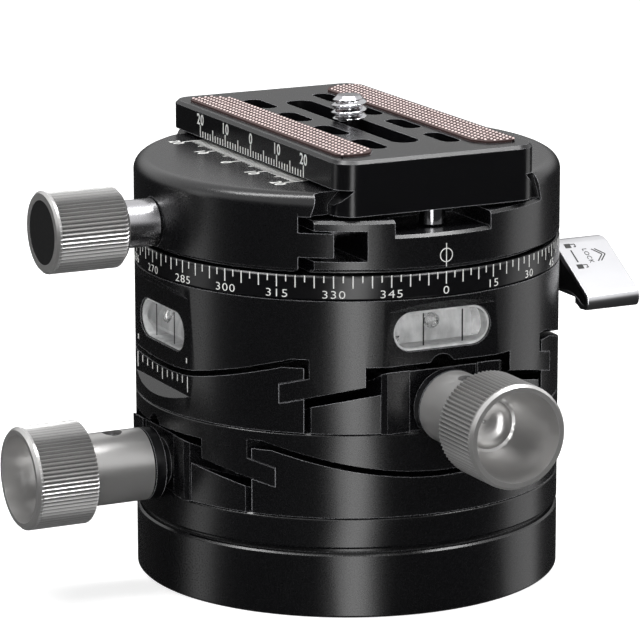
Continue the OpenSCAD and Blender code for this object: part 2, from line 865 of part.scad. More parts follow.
module pan_scale_ring() {
  color("#232326") difference() {
    disc(pan_z, pan_z + pan_ring_h, edge, edge);
    translate([0, 0, pan_z - over])
      cylinder(r = spindle_r + 0.06, h = pan_ring_h + 2 * over, $fn = round_fn);
    ring_screw_places() {
      translate([0, 0, -over]) cylinder(r = m3_r + fit, h = pan_ring_h + 2 * over, $fn = 36);
      translate([0, 0, pan_ring_h - ring_screw_seat])
        cylinder(r = m3_head_r + fit, h = ring_screw_seat + over, $fn = 48);
    }
  }
}

module ring_screw_places() {
  four(ring_screw_xy, ring_screw_xy) translate([0, 0, pan_z]) children();
}

module ring_screws() {
  color("#8f9296") ring_screw_places() translate([0, 0, pan_ring_h - ring_screw_seat]) rotate([180, 0, 0])
    m3_screw(2 * ring_screw_seat - 0.6);
}

module pan_spindle() {
  color("#8b8d91") difference() {
    union() {
      translate([0, 0, flange_z]) cylinder(r = flange_r, h = flange_h, $fn = round_fn);
      translate([0, 0, flange_z]) cylinder(r = spindle_r, h = spindle_top - flange_z, $fn = round_fn);
    }
    spindle_screw_places() cylinder(r = m4_r + fit, h = spindle_screw_len + 0.5, $fn = 36);
  }
}

module spindle_screw_places() {
  four(spindle_screw_x, spindle_screw_y) translate([0, 0, floor_z - spindle_screw_seat]) rotate([180, 0, 0])
    children();
}

module spindle_screws() {
  color("#8f9296") spindle_screw_places()
    socket_screw(m4_r, m4_head_r, m4_head_h, spindle_screw_len, m4_key);
}

// Screw that pushes the shoe onto the spindle flange when the lever turns
module lock_screw() {
  color("#77797d") lock_place() {
    translate([0, 0, flange_r + lock_tip])
      cylinder(r = lock_r, h = lever_in + lever_w * 0.37 - flange_r - lock_tip, $fn = 48);
  }
}

module lock_shoe() {
  color("#b58b4a") lock_place() difference() {
    translate([0, 0, flange_r - 1]) cylinder(r = lock_r, h = lock_tip + 1 - run_gap, $fn = 48);
    rotate([0, -90, 0]) translate([0, lever_y, flange_z - lever_z - over])
      cylinder(r = flange_r + 0.05, h = flange_h + 2 * over, $fn = round_fn);
  }
}

// Side outline of the lever round its pivot, shrunk by a wall thickness
function lever_arc(c, r, a0, a1, n) = [for (k = [0 : n]) let (a = a0 + (a1 - a0) * k / n)
  [c[0] + r * cos(a), c[1] + r * sin(a)]];

function lever_outline(wall) = concat(
  lever_arc([0, 0], lever_hub_r - wall, -50, 116, 9),
  lever_arc([-12, -4.1], 1.9 - wall * 0.6, 116, 235, 5),
  [[-11.1, -5.8 + wall]],
  lever_arc([-6.2, -14.3], 9.8 + wall, 112, 68, 4)
);

module lever_solid(wall, from, to) {
  translate([from, -lever_y, lever_z]) rotate([90, 0, 90]) linear_extrude(to - from)
    polygon(lever_outline(wall));
}

module lock_lever_arm() {
  color("#141416") difference() {
    union() {
      lever_solid(cover_t, lever_in + 0.1, lever_in + lever_w - cover_t - 0.05);
      // Boss between the body and the cover, on a thinner neck inside the cover
      lock_place() translate([0, 0, body_r + clear])
        cylinder(r = lock_boss_r, h = lever_in - body_r - clear - run_gap, $fn = 48);
      lock_place() translate([0, 0, body_r + clear])
        cylinder(r = lever_hub_r - cover_t - run_gap, h = lever_in - body_r, $fn = 48);
    }
    lock_place() translate([0, 0, body_r])
      cylinder(r = lock_r + 0.02, h = lever_in + lever_w * 0.37 + run_gap - body_r, $fn = 48);
  }
}

module lock_lever_cover() {
  color("#c9cbce") difference() {
    lever_solid(0, lever_in, lever_in + lever_w);
    lever_solid(cover_t - 0.05, lever_in - over, lever_in + lever_w - cover_t);
    translate([lever_in - over, -lever_y - 2 * lever_hub_r, lever_z - cover_open - 2 * lever_hub_r])
      cube([lever_w - cover_t + over, 3 * lever_hub_r, 2 * lever_hub_r]);
  }
}

// Clamp

module clamp_blank() {
  difference() {
    union() {
      rotate_extrude($fn = round_fn) union() {
        polygon([
          [0, clamp_z], [body_r - edge, clamp_z], [body_r, clamp_z + edge],
          [body_r, clamp_top - clamp_fillet], [body_r - clamp_fillet, clamp_top - clamp_fillet],
          [body_r - clamp_fillet, clamp_top], [0, clamp_top]
        ]);
        intersection() {
          translate([body_r - clamp_fillet, clamp_top - clamp_fillet]) circle(r = clamp_fillet, $fn = 64);
          translate([body_r - clamp_fillet, clamp_top - clamp_fillet]) square(clamp_fillet);
        }
      }
      translate([0, 0, spindle_top]) cylinder(r = body_r - groove_depth, h = 1, $fn = round_fn);
    }
    // Dovetail channel, wider at both ends where the plate slides in
    rotate([90, 0, 0]) linear_extrude(2 * (body_r + over), center = true) channel_profile();
    for (end = [-1, 1]) translate([0, end * (body_r - 4), 0]) rotate([90, 0, 0])
      linear_extrude(8, center = true) polygon([
        [-mouth_low, floor_z], [-mouth_top, clamp_top + over],
        [mouth_top, clamp_top + over], [mouth_low, floor_z]
      ]);
    // Recess for the stop screws
    for (end = [-1, 1])
      translate([-stop_half, end > 0 ? plate_y + stop_wall : -body_r - over, floor_z - stop_recess])
        cube([2 * stop_half, body_r + over - stop_wall - end * plate_y, 2 * stop_recess]);
    // Bevels on the round edges of the channel floor and of the recess
    edge_cut(floor_z, mouth_low);
    edge_cut(floor_z - stop_recess, stop_half);
  }
}

// Ring that bevels the round edge at height z, between the given half-widths
module edge_cut(z, half) {
  intersection() {
    rotate_extrude($fn = round_fn) polygon([
      [body_r - edge_bevel, z], [body_r + over, z - edge_bevel - over],
      [body_r + over, z + eps], [body_r - edge_bevel, z + eps]
    ]);
    translate([-half, -body_r - over, z - 2 * over]) cube([2 * half, 2 * (body_r + over), 3 * over]);
  }
}

module channel_profile() {
  slope_z = clamp_top - (channel_foot - channel_half);
  translate([plate_x, 0]) polygon([
    [-channel_half, clamp_top + over], [-channel_half, clamp_top], [-channel_foot, slope_z],
    [-channel_foot, floor_z], [channel_foot, floor_z], [channel_foot, slope_z],
    [channel_half, clamp_top], [channel_half, clamp_top + over]
  ]);
}

// Region of the jaw in front view: outer block, upper lip and tongue
module jaw_region() {
  jaw_edge = body_edge + jaw_gap;
  tongue_low = clamp_z + tongue_z;
  tongue_end = tongue_reach - body_edge;
  lip_low = floor_z + 0.65;
  rotate([90, 0, 0]) linear_extrude(2 * (body_r + over), center = true) polygon([
    [-body_r - over, spindle_top - over], [-jaw_edge, spindle_top - over],
    [-jaw_edge, tongue_low], [tongue_end, tongue_low], [tongue_end, tongue_low + tongue_h],
    [-jaw_edge, tongue_low + tongue_h], [-jaw_edge, lip_low], [-jaw_lip_in, lip_low],
    [-jaw_lip_in, clamp_top + 2 * over], [-body_r - over, clamp_top + 2 * over]
  ]);
}

module jaw_pin_places() {
  for (side = [-1, 1]) translate([0, side * jaw_pin_y, clamp_z + clamp_screw_z]) rotate([0, -90, 0])
    children();
}

module clamp_screw_place() {
  translate([0, 0, clamp_z + clamp_screw_z]) rotate([0, -90, 0]) children();
}

module clamp_body() {
  slot_end = body_edge - body_slot_in;
  color("#1c1c1f") difference() {
    clamp_blank();
    // Everything left of the slot belongs to the jaw
    translate([-body_r - over, -body_r - over, spindle_top - over])
      cube([body_r + over - body_edge, 2 * (body_r + over), clamp_h + 3 * over]);
    translate([-body_edge - over, -body_r - over, floor_z])
      cube([body_edge - channel_half + plate_x + over, 2 * (body_r + over), clamp_h]);
    translate([-body_edge - over, -body_r - over, clamp_z + body_slot_z])
      cube([body_edge - slot_end + over, 2 * (body_r + over), body_slot_h]);
    jaw_pin_places() cylinder(r = jaw_pin_r + 0.02, h = body_edge + over, $fn = 48);
    clamp_screw_place() cylinder(r = clamp_thread_r + fit, h = body_edge + over, $fn = 48);
    spindle_screw_places() {
      translate([0, 0, -9]) cylinder(r = m4_head_r + fit, h = 9, $fn = 48);
      cylinder(r = m4_r + fit, h = spindle_screw_len + 0.5, $fn = 36);
    }
  }
}

module clamp_jaw() {
  color("#1c1c1f") difference() {
    intersection() {
      clamp_blank();
      jaw_region();
    }
    // The blind pin holes leave room for the jaw's travel
    jaw_pin_places() translate([0, 0, jaw_pin_in])
      cylinder(r = jaw_pin_r + 0.06, h = jaw_pin_len + 0.7, $fn = 48);
    clamp_screw_place() cylinder(r = clamp_thread_r + fit, h = body_r + over, $fn = 48);
    clamp_screw_place() translate([0, 0, body_r - 0.3]) cylinder(r = clamp_shaft_r + 0.2, h = 2, $fn = 48);
  }
}

module jaw_pins() {
  color("#8f9296") jaw_pin_places() translate([0, 0, jaw_pin_in])
    cylinder(r = jaw_pin_r, h = jaw_pin_len, $fn = 48);
}

module clamp_screw() {
  shoulder = body_r - 0.3;
  knob_back = clamp_knob_face - clamp_knob_len;
  color("#c4c6ca") clamp_screw_place() union() {
    translate([0, 0, jaw_pin_in]) cylinder(r = clamp_thread_r, h = shoulder - jaw_pin_in + eps, $fn = 60);
    translate([0, 0, shoulder])
      cylinder(r1 = clamp_shaft_r - 0.5, r2 = clamp_shaft_r, h = 0.5 + eps, $fn = 60);
    translate([0, 0, shoulder + 0.5]) cylinder(r = clamp_shaft_r, h = knob_back - shoulder - 0.5, $fn = 60);
    translate([0, 0, knob_back - eps]) cylinder(r = clamp_thread_r, h = 8, $fn = 60);
  }
}

module clamp_knob() {
  rim_r = clamp_knob_r - 0.06;
  color("#6c6c70") clamp_screw_place() translate([0, 0, clamp_knob_face - clamp_knob_len]) difference() {
    union() {
      intersection() {
        knurled(clamp_knob_r, clamp_knob_ridges, clamp_knob_len);
        rotate_extrude($fn = round_fn) polygon([
          [0, 0], [clamp_knob_r - 1, 0], [clamp_knob_r + 0.1, 1], [clamp_knob_r + 0.1, clamp_knob_len - 0.6],
          [clamp_knob_r - 0.6, clamp_knob_len], [0, clamp_knob_len]
        ]);
      }
      translate([0, 0, clamp_knob_len - 1]) rotate_extrude($fn = round_fn) polygon([
        [0, 0], [rim_r - 0.15, 0], [rim_r, 0.15], [rim_r, 0.6], [rim_r - 0.4, 1], [0, 1]
      ]);
    }
    translate([0, 0, -over]) cylinder(r = clamp_thread_r + 0.02, h = 8.1 + over, $fn = 60);
    translate([0, 0, clamp_knob_len - 1.5]) cylinder(r = cap_r + 0.03, h = 2, $fn = 72);
  }
}

module clamp_knob_cap() {
  color("#0f0f10") clamp_screw_place() translate([0, 0, clamp_knob_face - 1.5])
    cylinder(r = cap_r, h = 1.45, $fn = 72);
}

// Plate

// Section of the plate's upright sides, bevelled at the top
module plate_side(half) {
  polygon([
    [-half, 0], [half, 0], [half, plate_t - plate_edge],
    [half - plate_edge, plate_t], [plate_edge - half, plate_t], [-half, plate_t - plate_edge]
  ]);
}

module plate_blank() {
  half = plate_w / 2;
  end = plate_len / 2;
  r = plate_corner;
  rotate([90, 0, 0]) linear_extrude(plate_len - 2 * r, center = true) plate_side(half);
  rotate([90, 0, 90]) linear_extrude(plate_w - 2 * r, center = true) plate_side(end);
  four(half - r, end - r) rotate_extrude($fn = 64)
    polygon([[0, 0], [r, 0], [r, plate_t - plate_edge], [r - plate_edge, plate_t], [0, plate_t]]);
}

module slot(width, length) {
  square([width, length - width], center = true);
  for (side = [-1, 1]) translate([0, side * (length - width) / 2]) circle(d = width, $fn = 40);
}

module strip_outline(gap) {
  cut = 3.2;
  x0 = strip_in - gap;
  x1 = strip_out + gap;
  y = strip_len / 2 + gap;
  polygon([
    [x0, -y + cut], [x0 + cut / 2, -y + 0.6], [x0 + cut, -y], [x1 - cut / 2, -y], [x1, -y + cut / 2],
    [x1, y - cut / 2], [x1 - cut / 2, y], [x0 + cut, y], [x0 + cut / 2, y - 0.6], [x0, y - cut]
  ]);
}

module plate_place() {
  translate([plate_x, plate_y, plate_z]) children();
}

module plate() {
  half = plate_w / 2;
  neck_z = plate_t - flange_t;
  color("#252528") plate_place() difference() {
    plate_blank();
    // Dovetail grooves along both sides
    rotate([90, 0, 0]) linear_extrude(plate_len + 2, center = true) for (side = [-1, 1])
      polygon([
        [side * neck_half_w, neck_z], [side * (half + over), neck_z], [side * (half + over), foot_h - over]
      ]);
    translate([0, slot_shift, -over]) {
      linear_extrude(plate_t + 2 * over) slot(slot_w, slot_len);
      linear_extrude(over + 4) slot(screw_recess, slot_len + screw_recess - slot_w);
    }
    for (side = [-1, 1], k = [-1.5 : 1 : 1.5]) translate([side * row_x, k * 14.4, -over])
      linear_extrude(plate_t + 2 * over) slot(short_w, 9.6);
    for (side = [0, 1]) mirror([side, 0, 0]) translate([0, 0, plate_t - strip_t + strip_rise])
      linear_extrude(strip_t) strip_outline(0.05);
    for (end = [-1, 1]) translate([0, end * stop_y, -over]) cylinder(r = 1.55, h = 5, $fn = 36);
  }
}

module grip_strip() {
  translate([0, 0, plate_t - strip_t + strip_rise]) linear_extrude(strip_t) strip_outline(0);
}

module right_grip_strip() {
  color("#9a7c74") plate_place() grip_strip();
}

module left_grip_strip() {
  color("#9a7c74") plate_place() mirror([1, 0, 0]) grip_strip();
}

module stop_screws() {
  color("#d0d2d5") plate_place() for (end = [-1, 1]) translate([0, end * stop_y, 0]) {
    translate([0, 0, -stop_head_h]) cylinder(r = stop_head_r, h = stop_head_h, $fn = 24);
    cylinder(r = 1.5, h = 3.6, $fn = 36);
  }
}

module camera_screw() {
  tip = plate_t + camera_h;
  color("#d0d2d5") plate_place() union() {
    translate([0, 0, plate_t + 0.3]) cylinder(r = camera_r, h = camera_h - 0.9, $fn = 60);
    translate([0, 0, tip - 0.6 - eps]) cylinder(r1 = camera_r, r2 = camera_r - 0.6, h = 0.6 + eps, $fn = 60);
    translate([0, 0, 3.7]) cylinder(r = 2.2, h = plate_t - 3.4 + eps, $fn = 48);
    difference() {
      translate([0, 0, 1]) cylinder(r = screw_head_r, h = 2.9, $fn = 60);
      cylinder(r = 2.3, h = 2.6, $fn = 6);
    }
  }
}

base_disc();
base_ring();
base_screws();
lower_rail_front();
lower_rail_back();
lower_housing();
lower_housing_screws();
lower_worm_nut();
lower_worm_bush();
lower_worm_shaft();
lower_tilt_knob();
lower_knob_grub();
lower_cradle();
lower_rack();
lower_rack_screws();
upper_rail_left();
upper_rail_right();
upper_housing();
stage_screws();
upper_worm_nut();
upper_worm_bush();
upper_worm_shaft();
upper_tilt_knob();
upper_knob_grub();
upper_cradle();
upper_rack();
upper_rack_screws();
front_level();
left_level();
pan_scale_ring();
ring_screws();
pan_spindle();
spindle_screws();
lock_screw();
lock_shoe();
lock_lever_arm();
lock_lever_cover();
clamp_body();
clamp_jaw();
jaw_pins();
clamp_screw();
clamp_knob();
clamp_knob_cap();
plate();
left_grip_strip();
right_grip_strip();
stop_screws();
camera_screw();
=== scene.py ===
# Geared tripod head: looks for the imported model. Lengths are in metres, angles in degrees.
import math

import bmesh
import bpy
from mathutils import Matrix, Vector


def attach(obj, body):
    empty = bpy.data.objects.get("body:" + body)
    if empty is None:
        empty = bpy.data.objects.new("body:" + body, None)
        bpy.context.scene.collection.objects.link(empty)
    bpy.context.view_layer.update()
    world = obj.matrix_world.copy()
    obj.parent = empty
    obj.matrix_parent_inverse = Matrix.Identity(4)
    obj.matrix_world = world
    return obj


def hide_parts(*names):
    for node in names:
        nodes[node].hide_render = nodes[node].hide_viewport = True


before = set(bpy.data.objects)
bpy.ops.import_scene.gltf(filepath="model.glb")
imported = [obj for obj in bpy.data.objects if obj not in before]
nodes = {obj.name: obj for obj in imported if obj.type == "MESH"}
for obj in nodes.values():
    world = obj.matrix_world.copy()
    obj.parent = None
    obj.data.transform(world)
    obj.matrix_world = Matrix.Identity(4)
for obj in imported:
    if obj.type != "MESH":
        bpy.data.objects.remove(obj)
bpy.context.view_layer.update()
mm = 0.001

# Sizes of the solids that marks are laid on
bodyRadius = 37.5 * mm
clampTop = 73.8 * mm
markLift = 0.03 * mm  # how far a filled mark stands out of its face


def linear(hexColour):
    # sRGB hex to linear light
    parts = [int(hexColour[i : i + 2], 16) / 255 for i in (1, 3, 5)]
    return tuple(c / 12.92 if c <= 0.04045 else ((c + 0.055) / 1.055) ** 2.4 for c in parts) + (1.0,)


def addNode(tree, kind, entries=None):
    # One node. An entry is a setting of the node, or an input's value, or a link from another node's socket
    node = tree.nodes.new(kind)
    for key, value in (entries or {}).items():
        if isinstance(value, bpy.types.NodeSocket):
            tree.links.new(value, node.inputs[key])
        elif isinstance(key, int) or key in node.inputs:
            node.inputs[key].default_value = value
        else:
            setattr(node, key, value)
    return node


def newMaterial(name):
    material = bpy.data.materials.new(name)
    material.use_nodes = True
    material.node_tree.nodes.clear()
    return material, material.node_tree


# The same for every surface
surfaceRules = {
    "fineDetail": 2.0, "slowDetail": 3.0, "samples": 6,
    # How far the rounded normal agrees with the face: from flat to a fully lit edge, for the painted edge
    # highlight
    "flatAgree": 0.97, "edgeAgree": 0.80,
    # How open a spot is to the sky, for the painted shade in grooves: from the bottom of a groove to its
    # crest
    "grooveOpen": 0.25, "crestOpen": 0.85,
}


def wornEdges(tree, spec, colour):
    # Painted highlight: paler where faces turn, standing in for the light that a rounded edge catches
    samples = surfaceRules["samples"]
    rounded = addNode(tree, "ShaderNodeBevel", {"samples": samples, "Radius": spec["edgeWidth"]}).outputs[0]
    plain = addNode(tree, "ShaderNodeNewGeometry").outputs["Normal"]
    agree = addNode(tree, "ShaderNodeVectorMath", {"operation": "DOT_PRODUCT", 0: rounded, 1: plain})
    span = {
        "Value": agree.outputs["Value"], "From Min": surfaceRules["flatAgree"],
        "From Max": surfaceRules["edgeAgree"],
    }
    worn = addNode(tree, "ShaderNodeMapRange", span).outputs[0]
    mix = {"data_type": "RGBA", 0: worn, 6: colour, 7: linear(spec["edge"])}
    return addNode(tree, "ShaderNodeMix", mix).outputs[2]


def darkGrooves(tree, spec, colour):
    # Painted shade: darker where little light gets in, between the ridges of a knurl
    look = {"samples": surfaceRules["samples"], "Distance": spec["grooveWidth"]}
    openness = addNode(tree, "ShaderNodeAmbientOcclusion", look).outputs["AO"]
    span = {"Value": openness, "From Min": surfaceRules["grooveOpen"], "From Max": surfaceRules["crestOpen"]}
    crest = addNode(tree, "ShaderNodeMapRange", span).outputs[0]
    mix = {"data_type": "RGBA", 0: crest, 6: linear(spec["groove"]), 7: colour}
    return addNode(tree, "ShaderNodeMix", mix).outputs[2]


def paleTops(tree, spec, colour, place):
    # Painted light: pale above a height as a highlight on a top, the base colour below it as painted shade
    low, high = spec["topHeights"]
    height = addNode(tree, "ShaderNodeSeparateXYZ", {0: place}).outputs[2]
    span = {"Value": height, "From Min": low, "From Max": high}
    rise = addNode(tree, "ShaderNodeMapRange", span).outputs[0]
    mix = {"data_type": "RGBA", 0: rise, 6: linear(spec["base"]), 7: colour}
    return addNode(tree, "ShaderNodeMix", mix).outputs[2]


def surfaceMaterial(name, spec):
    # Metal, plastic or rubber with a fine grain, slow colour change and small bumps
    material, tree = newMaterial(name)
    place = addNode(tree, "ShaderNodeTexCoord").outputs["Object"]
    stretch = {"Vector": place, "Scale": spec.get("stretch", (1, 1, 1))}
    stretched = addNode(tree, "ShaderNodeMapping", stretch).outputs[0]
    grain = {"Vector": stretched, "Scale": 1 / spec["grain"], "Detail": surfaceRules["fineDetail"]}
    fine = addNode(tree, "ShaderNodeTexNoise", grain).outputs[0]
    drift = {"Vector": place, "Scale": 1 / spec["drift"], "Detail": surfaceRules["slowDetail"]}
    slow = addNode(tree, "ShaderNodeTexNoise", drift).outputs[0]
    mix = {"data_type": "RGBA", 0: slow, 6: linear(spec["dark"]), 7: linear(spec["light"])}
    colour = addNode(tree, "ShaderNodeMix", mix).outputs[2]
    # Painted light where a finish asks for it: highlights on edges, shade in grooves, pale tops
    if "edge" in spec:
        colour = wornEdges(tree, spec, colour)
    if "groove" in spec:
        colour = darkGrooves(tree, spec, colour)
    if "topHeights" in spec:
        colour = paleTops(tree, spec, colour, place)
    middle, spread = spec["rough"], spec["roughSpread"]
    span = {"Value": fine, "To Min": middle - spread, "To Max": middle + spread}
    rough = addNode(tree, "ShaderNodeMapRange", span).outputs[0]
    relief = {"Height": fine, "Strength": spec["bump"], "Distance": spec["bumpHeight"]}
    bump = addNode(tree, "ShaderNodeBump", relief).outputs[0]
    surface = {
        "Base Color": colour, "Roughness": rough, "Normal": bump, "Metallic": spec["metallic"],
        "Specular IOR Level": spec.get("specular", 0.5),
    }
    shader = addNode(tree, "ShaderNodeBsdfPrincipled", surface)
    addNode(tree, "ShaderNodeOutputMaterial", {"Surface": shader.outputs[0]})
    return material


# What each finish is, and what that gives the eye. Blasting, turning and moulding leave a grain too fine for
# the camera, so each grain is drawn as coarse as it needs to show.
finishes = {
    # Aluminium, bead blasted and black anodised: deep black with a soft wide sheen, and a painted highlight
    # along its edges
    "blackAnodised": {
        "dark": "#08080a", "light": "#0f0f11", "metallic": 0.0, "rough": 0.27, "roughSpread": 0.03,
        "edge": "#a6a6aa", "edgeWidth": 0.18 * mm,
        "grain": 0.25 * mm, "drift": 20 * mm, "bump": 0.03, "bumpHeight": 0.02 * mm,
    },
    # The same coat on turned aluminium: less sheen, and the grain drawn out along the turned lines
    "blackTurned": {
        "dark": "#08080a", "light": "#0f0f11", "metallic": 0.0, "rough": 0.26, "roughSpread": 0.03,
        # Its edges get the same painted highlight
        "edge": "#a6a6aa", "edgeWidth": 0.22 * mm,
        "grain": 0.2 * mm, "drift": 20 * mm, "bump": 0.03, "bumpHeight": 0.02 * mm,
        "stretch": (1, 1, 14), "specular": 0.36,
    },
    # Knurled aluminium, grey anodised: cool metal, with painted shade in the grooves and a painted highlight
    # on the ridges
    "greyAnodised": {
        "dark": "#b2b1b0", "light": "#c2c1c0", "metallic": 0.74, "rough": 0.30, "roughSpread": 0.03,
        "groove": "#121212", "grooveWidth": 1.1 * mm, "edge": "#e2e2e4", "edgeWidth": 0.15 * mm,
        "grain": 0.2 * mm, "drift": 9 * mm, "bump": 0.12, "bumpHeight": 0.02 * mm,
    },
    # Turned aluminium, clear anodised: smooth silver with one long light along the shaft
    "clearAluminium": {
        "dark": "#b4b3b6", "light": "#c2c1c4", "metallic": 1.0, "rough": 0.26, "roughSpread": 0.04,
        "grain": 0.2 * mm, "drift": 8 * mm, "bump": 0.06, "bumpHeight": 0.02 * mm,
    },
    # Zinc casting, satin nickel plated: even, bright silver with soft reflections
    "satinSilver": {
        "dark": "#cfcfd2", "light": "#dcdcdf", "metallic": 1.0, "rough": 0.30, "roughSpread": 0.03,
        "grain": 0.2 * mm, "drift": 8 * mm, "bump": 0.04, "bumpHeight": 0.02 * mm,
    },
    # Bare turned steel: mid grey with a slightly patchy shine
    "turnedSteel": {
        "dark": "#8d8d90", "light": "#a09fa2", "metallic": 1.0, "rough": 0.28, "roughSpread": 0.05,
        "grain": 0.3 * mm, "drift": 6 * mm, "bump": 0.05, "bumpHeight": 0.02 * mm,
    },
    # Steel screws with black oxide: nearly black, with a dull glint
    "blackSteel": {
        "dark": "#1c1c1d", "light": "#29292b", "metallic": 1.0, "rough": 0.34, "roughSpread": 0.05,
        "grain": 0.2 * mm, "drift": 5 * mm, "bump": 0.05, "bumpHeight": 0.02 * mm,
    },
    # Steel screws with chrome plate: sharp bright and dark reflections
    "chromePlate": {
        "dark": "#b4b4b7", "light": "#c4c4c7", "metallic": 1.0, "rough": 0.12, "roughSpread": 0.02,
        "grain": 0.3 * mm, "drift": 5 * mm, "bump": 0.02, "bumpHeight": 0.01 * mm,
    },
    # Machined bronze: warm brown metal with an uneven tone
    "bronze": {
        "dark": "#8a5224", "light": "#a8682f", "metallic": 1.0, "rough": 0.33, "roughSpread": 0.06,
        "grain": 0.3 * mm, "drift": 6 * mm, "bump": 0.08, "bumpHeight": 0.02 * mm,
    },
    # Black moulded ABS: dull black with a fine eroded grain
    "blackAbs": {
        "dark": "#0b0b0c", "light": "#121213", "metallic": 0.0, "rough": 0.5, "roughSpread": 0.06,
        "grain": 0.35 * mm, "drift": 10 * mm, "bump": 0.12, "bumpHeight": 0.03 * mm,
    },
    # Moulded rubber of the strips: dark brown without shine
    "brownRubber": {
        "dark": "#2a1513", "light": "#371d1a", "metallic": 0.0, "rough": 0.65, "roughSpread": 0.08,
        "grain": 0.3 * mm, "drift": 6 * mm, "bump": 0.3, "bumpHeight": 0.05 * mm,
    },
    # The raised dots of that rubber: painted shade darkens their feet, and a painted highlight makes their
    # tops pale
    "pinkRubber": {
        "dark": "#b9a3a0", "light": "#f0dfdc", "metallic": 0.0, "rough": 0.45, "roughSpread": 0.08,
        "base": "#2a1513", "topHeights": (79.80 * mm, 79.93 * mm),
        "grain": 0.3 * mm, "drift": 1.2 * mm, "bump": 0.15, "bumpHeight": 0.03 * mm,
    },
    # White enamel filled into engraved marks: chalky white that stands out on the black
    "whiteFill": {
        "dark": "#d9d9d6", "light": "#ececea", "metallic": 0.0, "rough": 0.5, "roughSpread": 0.05,
        "grain": 0.2 * mm, "drift": 3 * mm, "bump": 0.05, "bumpHeight": 0.01 * mm,
    },
    # Black ink, printed: flat black with crisp edges
    "blackInk": {
        "dark": "#0b0b0c", "light": "#161617", "metallic": 0.0, "rough": 0.45, "roughSpread": 0.05,
        "grain": 0.2 * mm, "drift": 3 * mm, "bump": 0.05, "bumpHeight": 0.01 * mm,
    },
    # Pale moulded tray behind the vials: mottled white and grey, as seen through wavy plastic
    "paleTray": {
        "dark": "#8f9192", "light": "#ffffff", "metallic": 0.0, "rough": 0.22, "roughSpread": 0.08,
        "grain": 0.5 * mm, "drift": 1.6 * mm, "bump": 0.5, "bumpHeight": 0.02 * mm,
    },
}
materials = {name: surfaceMaterial(name, spec) for name, spec in finishes.items()}

# Clear pieces of the level vials. Their ripple is drawn coarse enough to show.
clearFinishes = {
    # Acrylic tube filled with spirit, drawn as one: clear, with the tray bent behind it
    "clearAcrylic": {"rough": 0.03, "ior": 1.3},
    # Air in the spirit bends light the other way: a clear drop with a darker rim
    "airBubble": {"rough": 0.02, "ior": 0.6},
}
ripple = {"size": 1.11 * mm, "detail": 1.0, "bump": 0.05, "bumpHeight": 0.02 * mm}


def clearMaterial(name, spec):
    # Light goes through, a little rippled and without a tint
    material, tree = newMaterial(name)
    place = addNode(tree, "ShaderNodeTexCoord").outputs["Object"]
    wave = {"Vector": place, "Scale": 1 / ripple["size"], "Detail": ripple["detail"]}
    height = addNode(tree, "ShaderNodeTexNoise", wave).outputs[0]
    relief = {"Height": height, "Strength": ripple["bump"], "Distance": ripple["bumpHeight"]}
    bump = addNode(tree, "ShaderNodeBump", relief).outputs[0]
    surface = {
        "Base Color": (1, 1, 1, 1), "Roughness": spec["rough"], "IOR": spec["ior"], "Normal": bump,
        "Transmission Weight": 1.0,
    }
    shader = addNode(tree, "ShaderNodeBsdfPrincipled", surface)
    addNode(tree, "ShaderNodeOutputMaterial", {"Surface": shader.outputs[0]})
    return material


for name, spec in clearFinishes.items():
    materials[name] = clearMaterial(name, spec)
print("materials made:", len(materials))

# Which finish each solid takes
nodeFinish = {
    "blackAnodised": (
        "base_disc", "base_ring", "lower_rail_front", "lower_rail_back", "lower_housing", "lower_cradle",
        "upper_rail_left", "upper_rail_right", "upper_housing", "upper_cradle", "clamp_body", "clamp_jaw",
    ),
    "blackTurned": ("pan_scale_ring", "plate", "lower_worm_nut", "upper_worm_nut"),
    "greyAnodised": ("lower_tilt_knob", "upper_tilt_knob", "clamp_knob"),
    "clearAluminium": ("clamp_screw",),
    "satinSilver": ("lock_lever_cover",),
    "turnedSteel": (
        "lower_worm_shaft", "upper_worm_shaft", "pan_spindle", "lock_screw", "jaw_pins", "lower_knob_grub",
        "upper_knob_grub",
    ),
    "blackSteel": (
        "base_screws", "lower_housing_screws", "lower_rack_screws", "stage_screws", "upper_rack_screws",
        "ring_screws", "spindle_screws",
    ),
    "chromePlate": ("stop_screws", "camera_screw"),
    "bronze": ("lower_worm_bush", "lower_rack", "upper_worm_bush", "upper_rack", "lock_shoe"),
    "blackAbs": ("lock_lever_arm", "clamp_knob_cap"),
    "brownRubber": ("left_grip_strip", "right_grip_strip"),
    "clearAcrylic": ("front_level", "left_level"),
}


def give(piece, finish):
    # One material on the whole piece
    piece.data.materials.clear()
    piece.data.materials.append(materials[finish])


for finish, names in nodeFinish.items():
    for name in names:
        give(nodes[name], finish)


def newGeometryTree(name, sockets):
    # An empty geometry node tree with named inputs, and its input sockets
    tree = bpy.data.node_groups.new(name, "GeometryNodeTree")
    for socket, kind in sockets.items():
        tree.interface.new_socket(socket, in_out="INPUT", socket_type="NodeSocket" + kind)
    tree.interface.new_socket("Geometry", in_out="OUTPUT", socket_type="NodeSocketGeometry")
    return tree, addNode(tree, "NodeGroupInput").outputs


def addTree(piece, tree, values):
    # A geometry node tree on a piece: its inputs are set by their identifiers
    modifier = piece.modifiers.new(tree.name, "NODES")
    modifier.node_group = tree
    for item in tree.interface.items_tree:
        if item.name in values:
            modifier[item.identifier] = values[item.name]


# Edges of the solids: smooth below an angle, and small bevels that catch the light on machined pieces
solidEdges = {
    "smoothAngle": 32.0, "weldGap": 0.002 * mm, "bevelAngle": 40.0, "bevelSteps": 2,
    "bevels": (
        (0.16 * mm, ("lower_rail_front", "lower_rail_back", "upper_rail_left", "upper_rail_right",
                     "lower_housing", "upper_housing", "clamp_body", "clamp_jaw")),
        (0.08 * mm, ("base_disc", "base_ring", "lower_cradle", "upper_cradle", "pan_scale_ring")),
        (0.26 * mm, ("lock_lever_cover", "plate")),
    ),
}


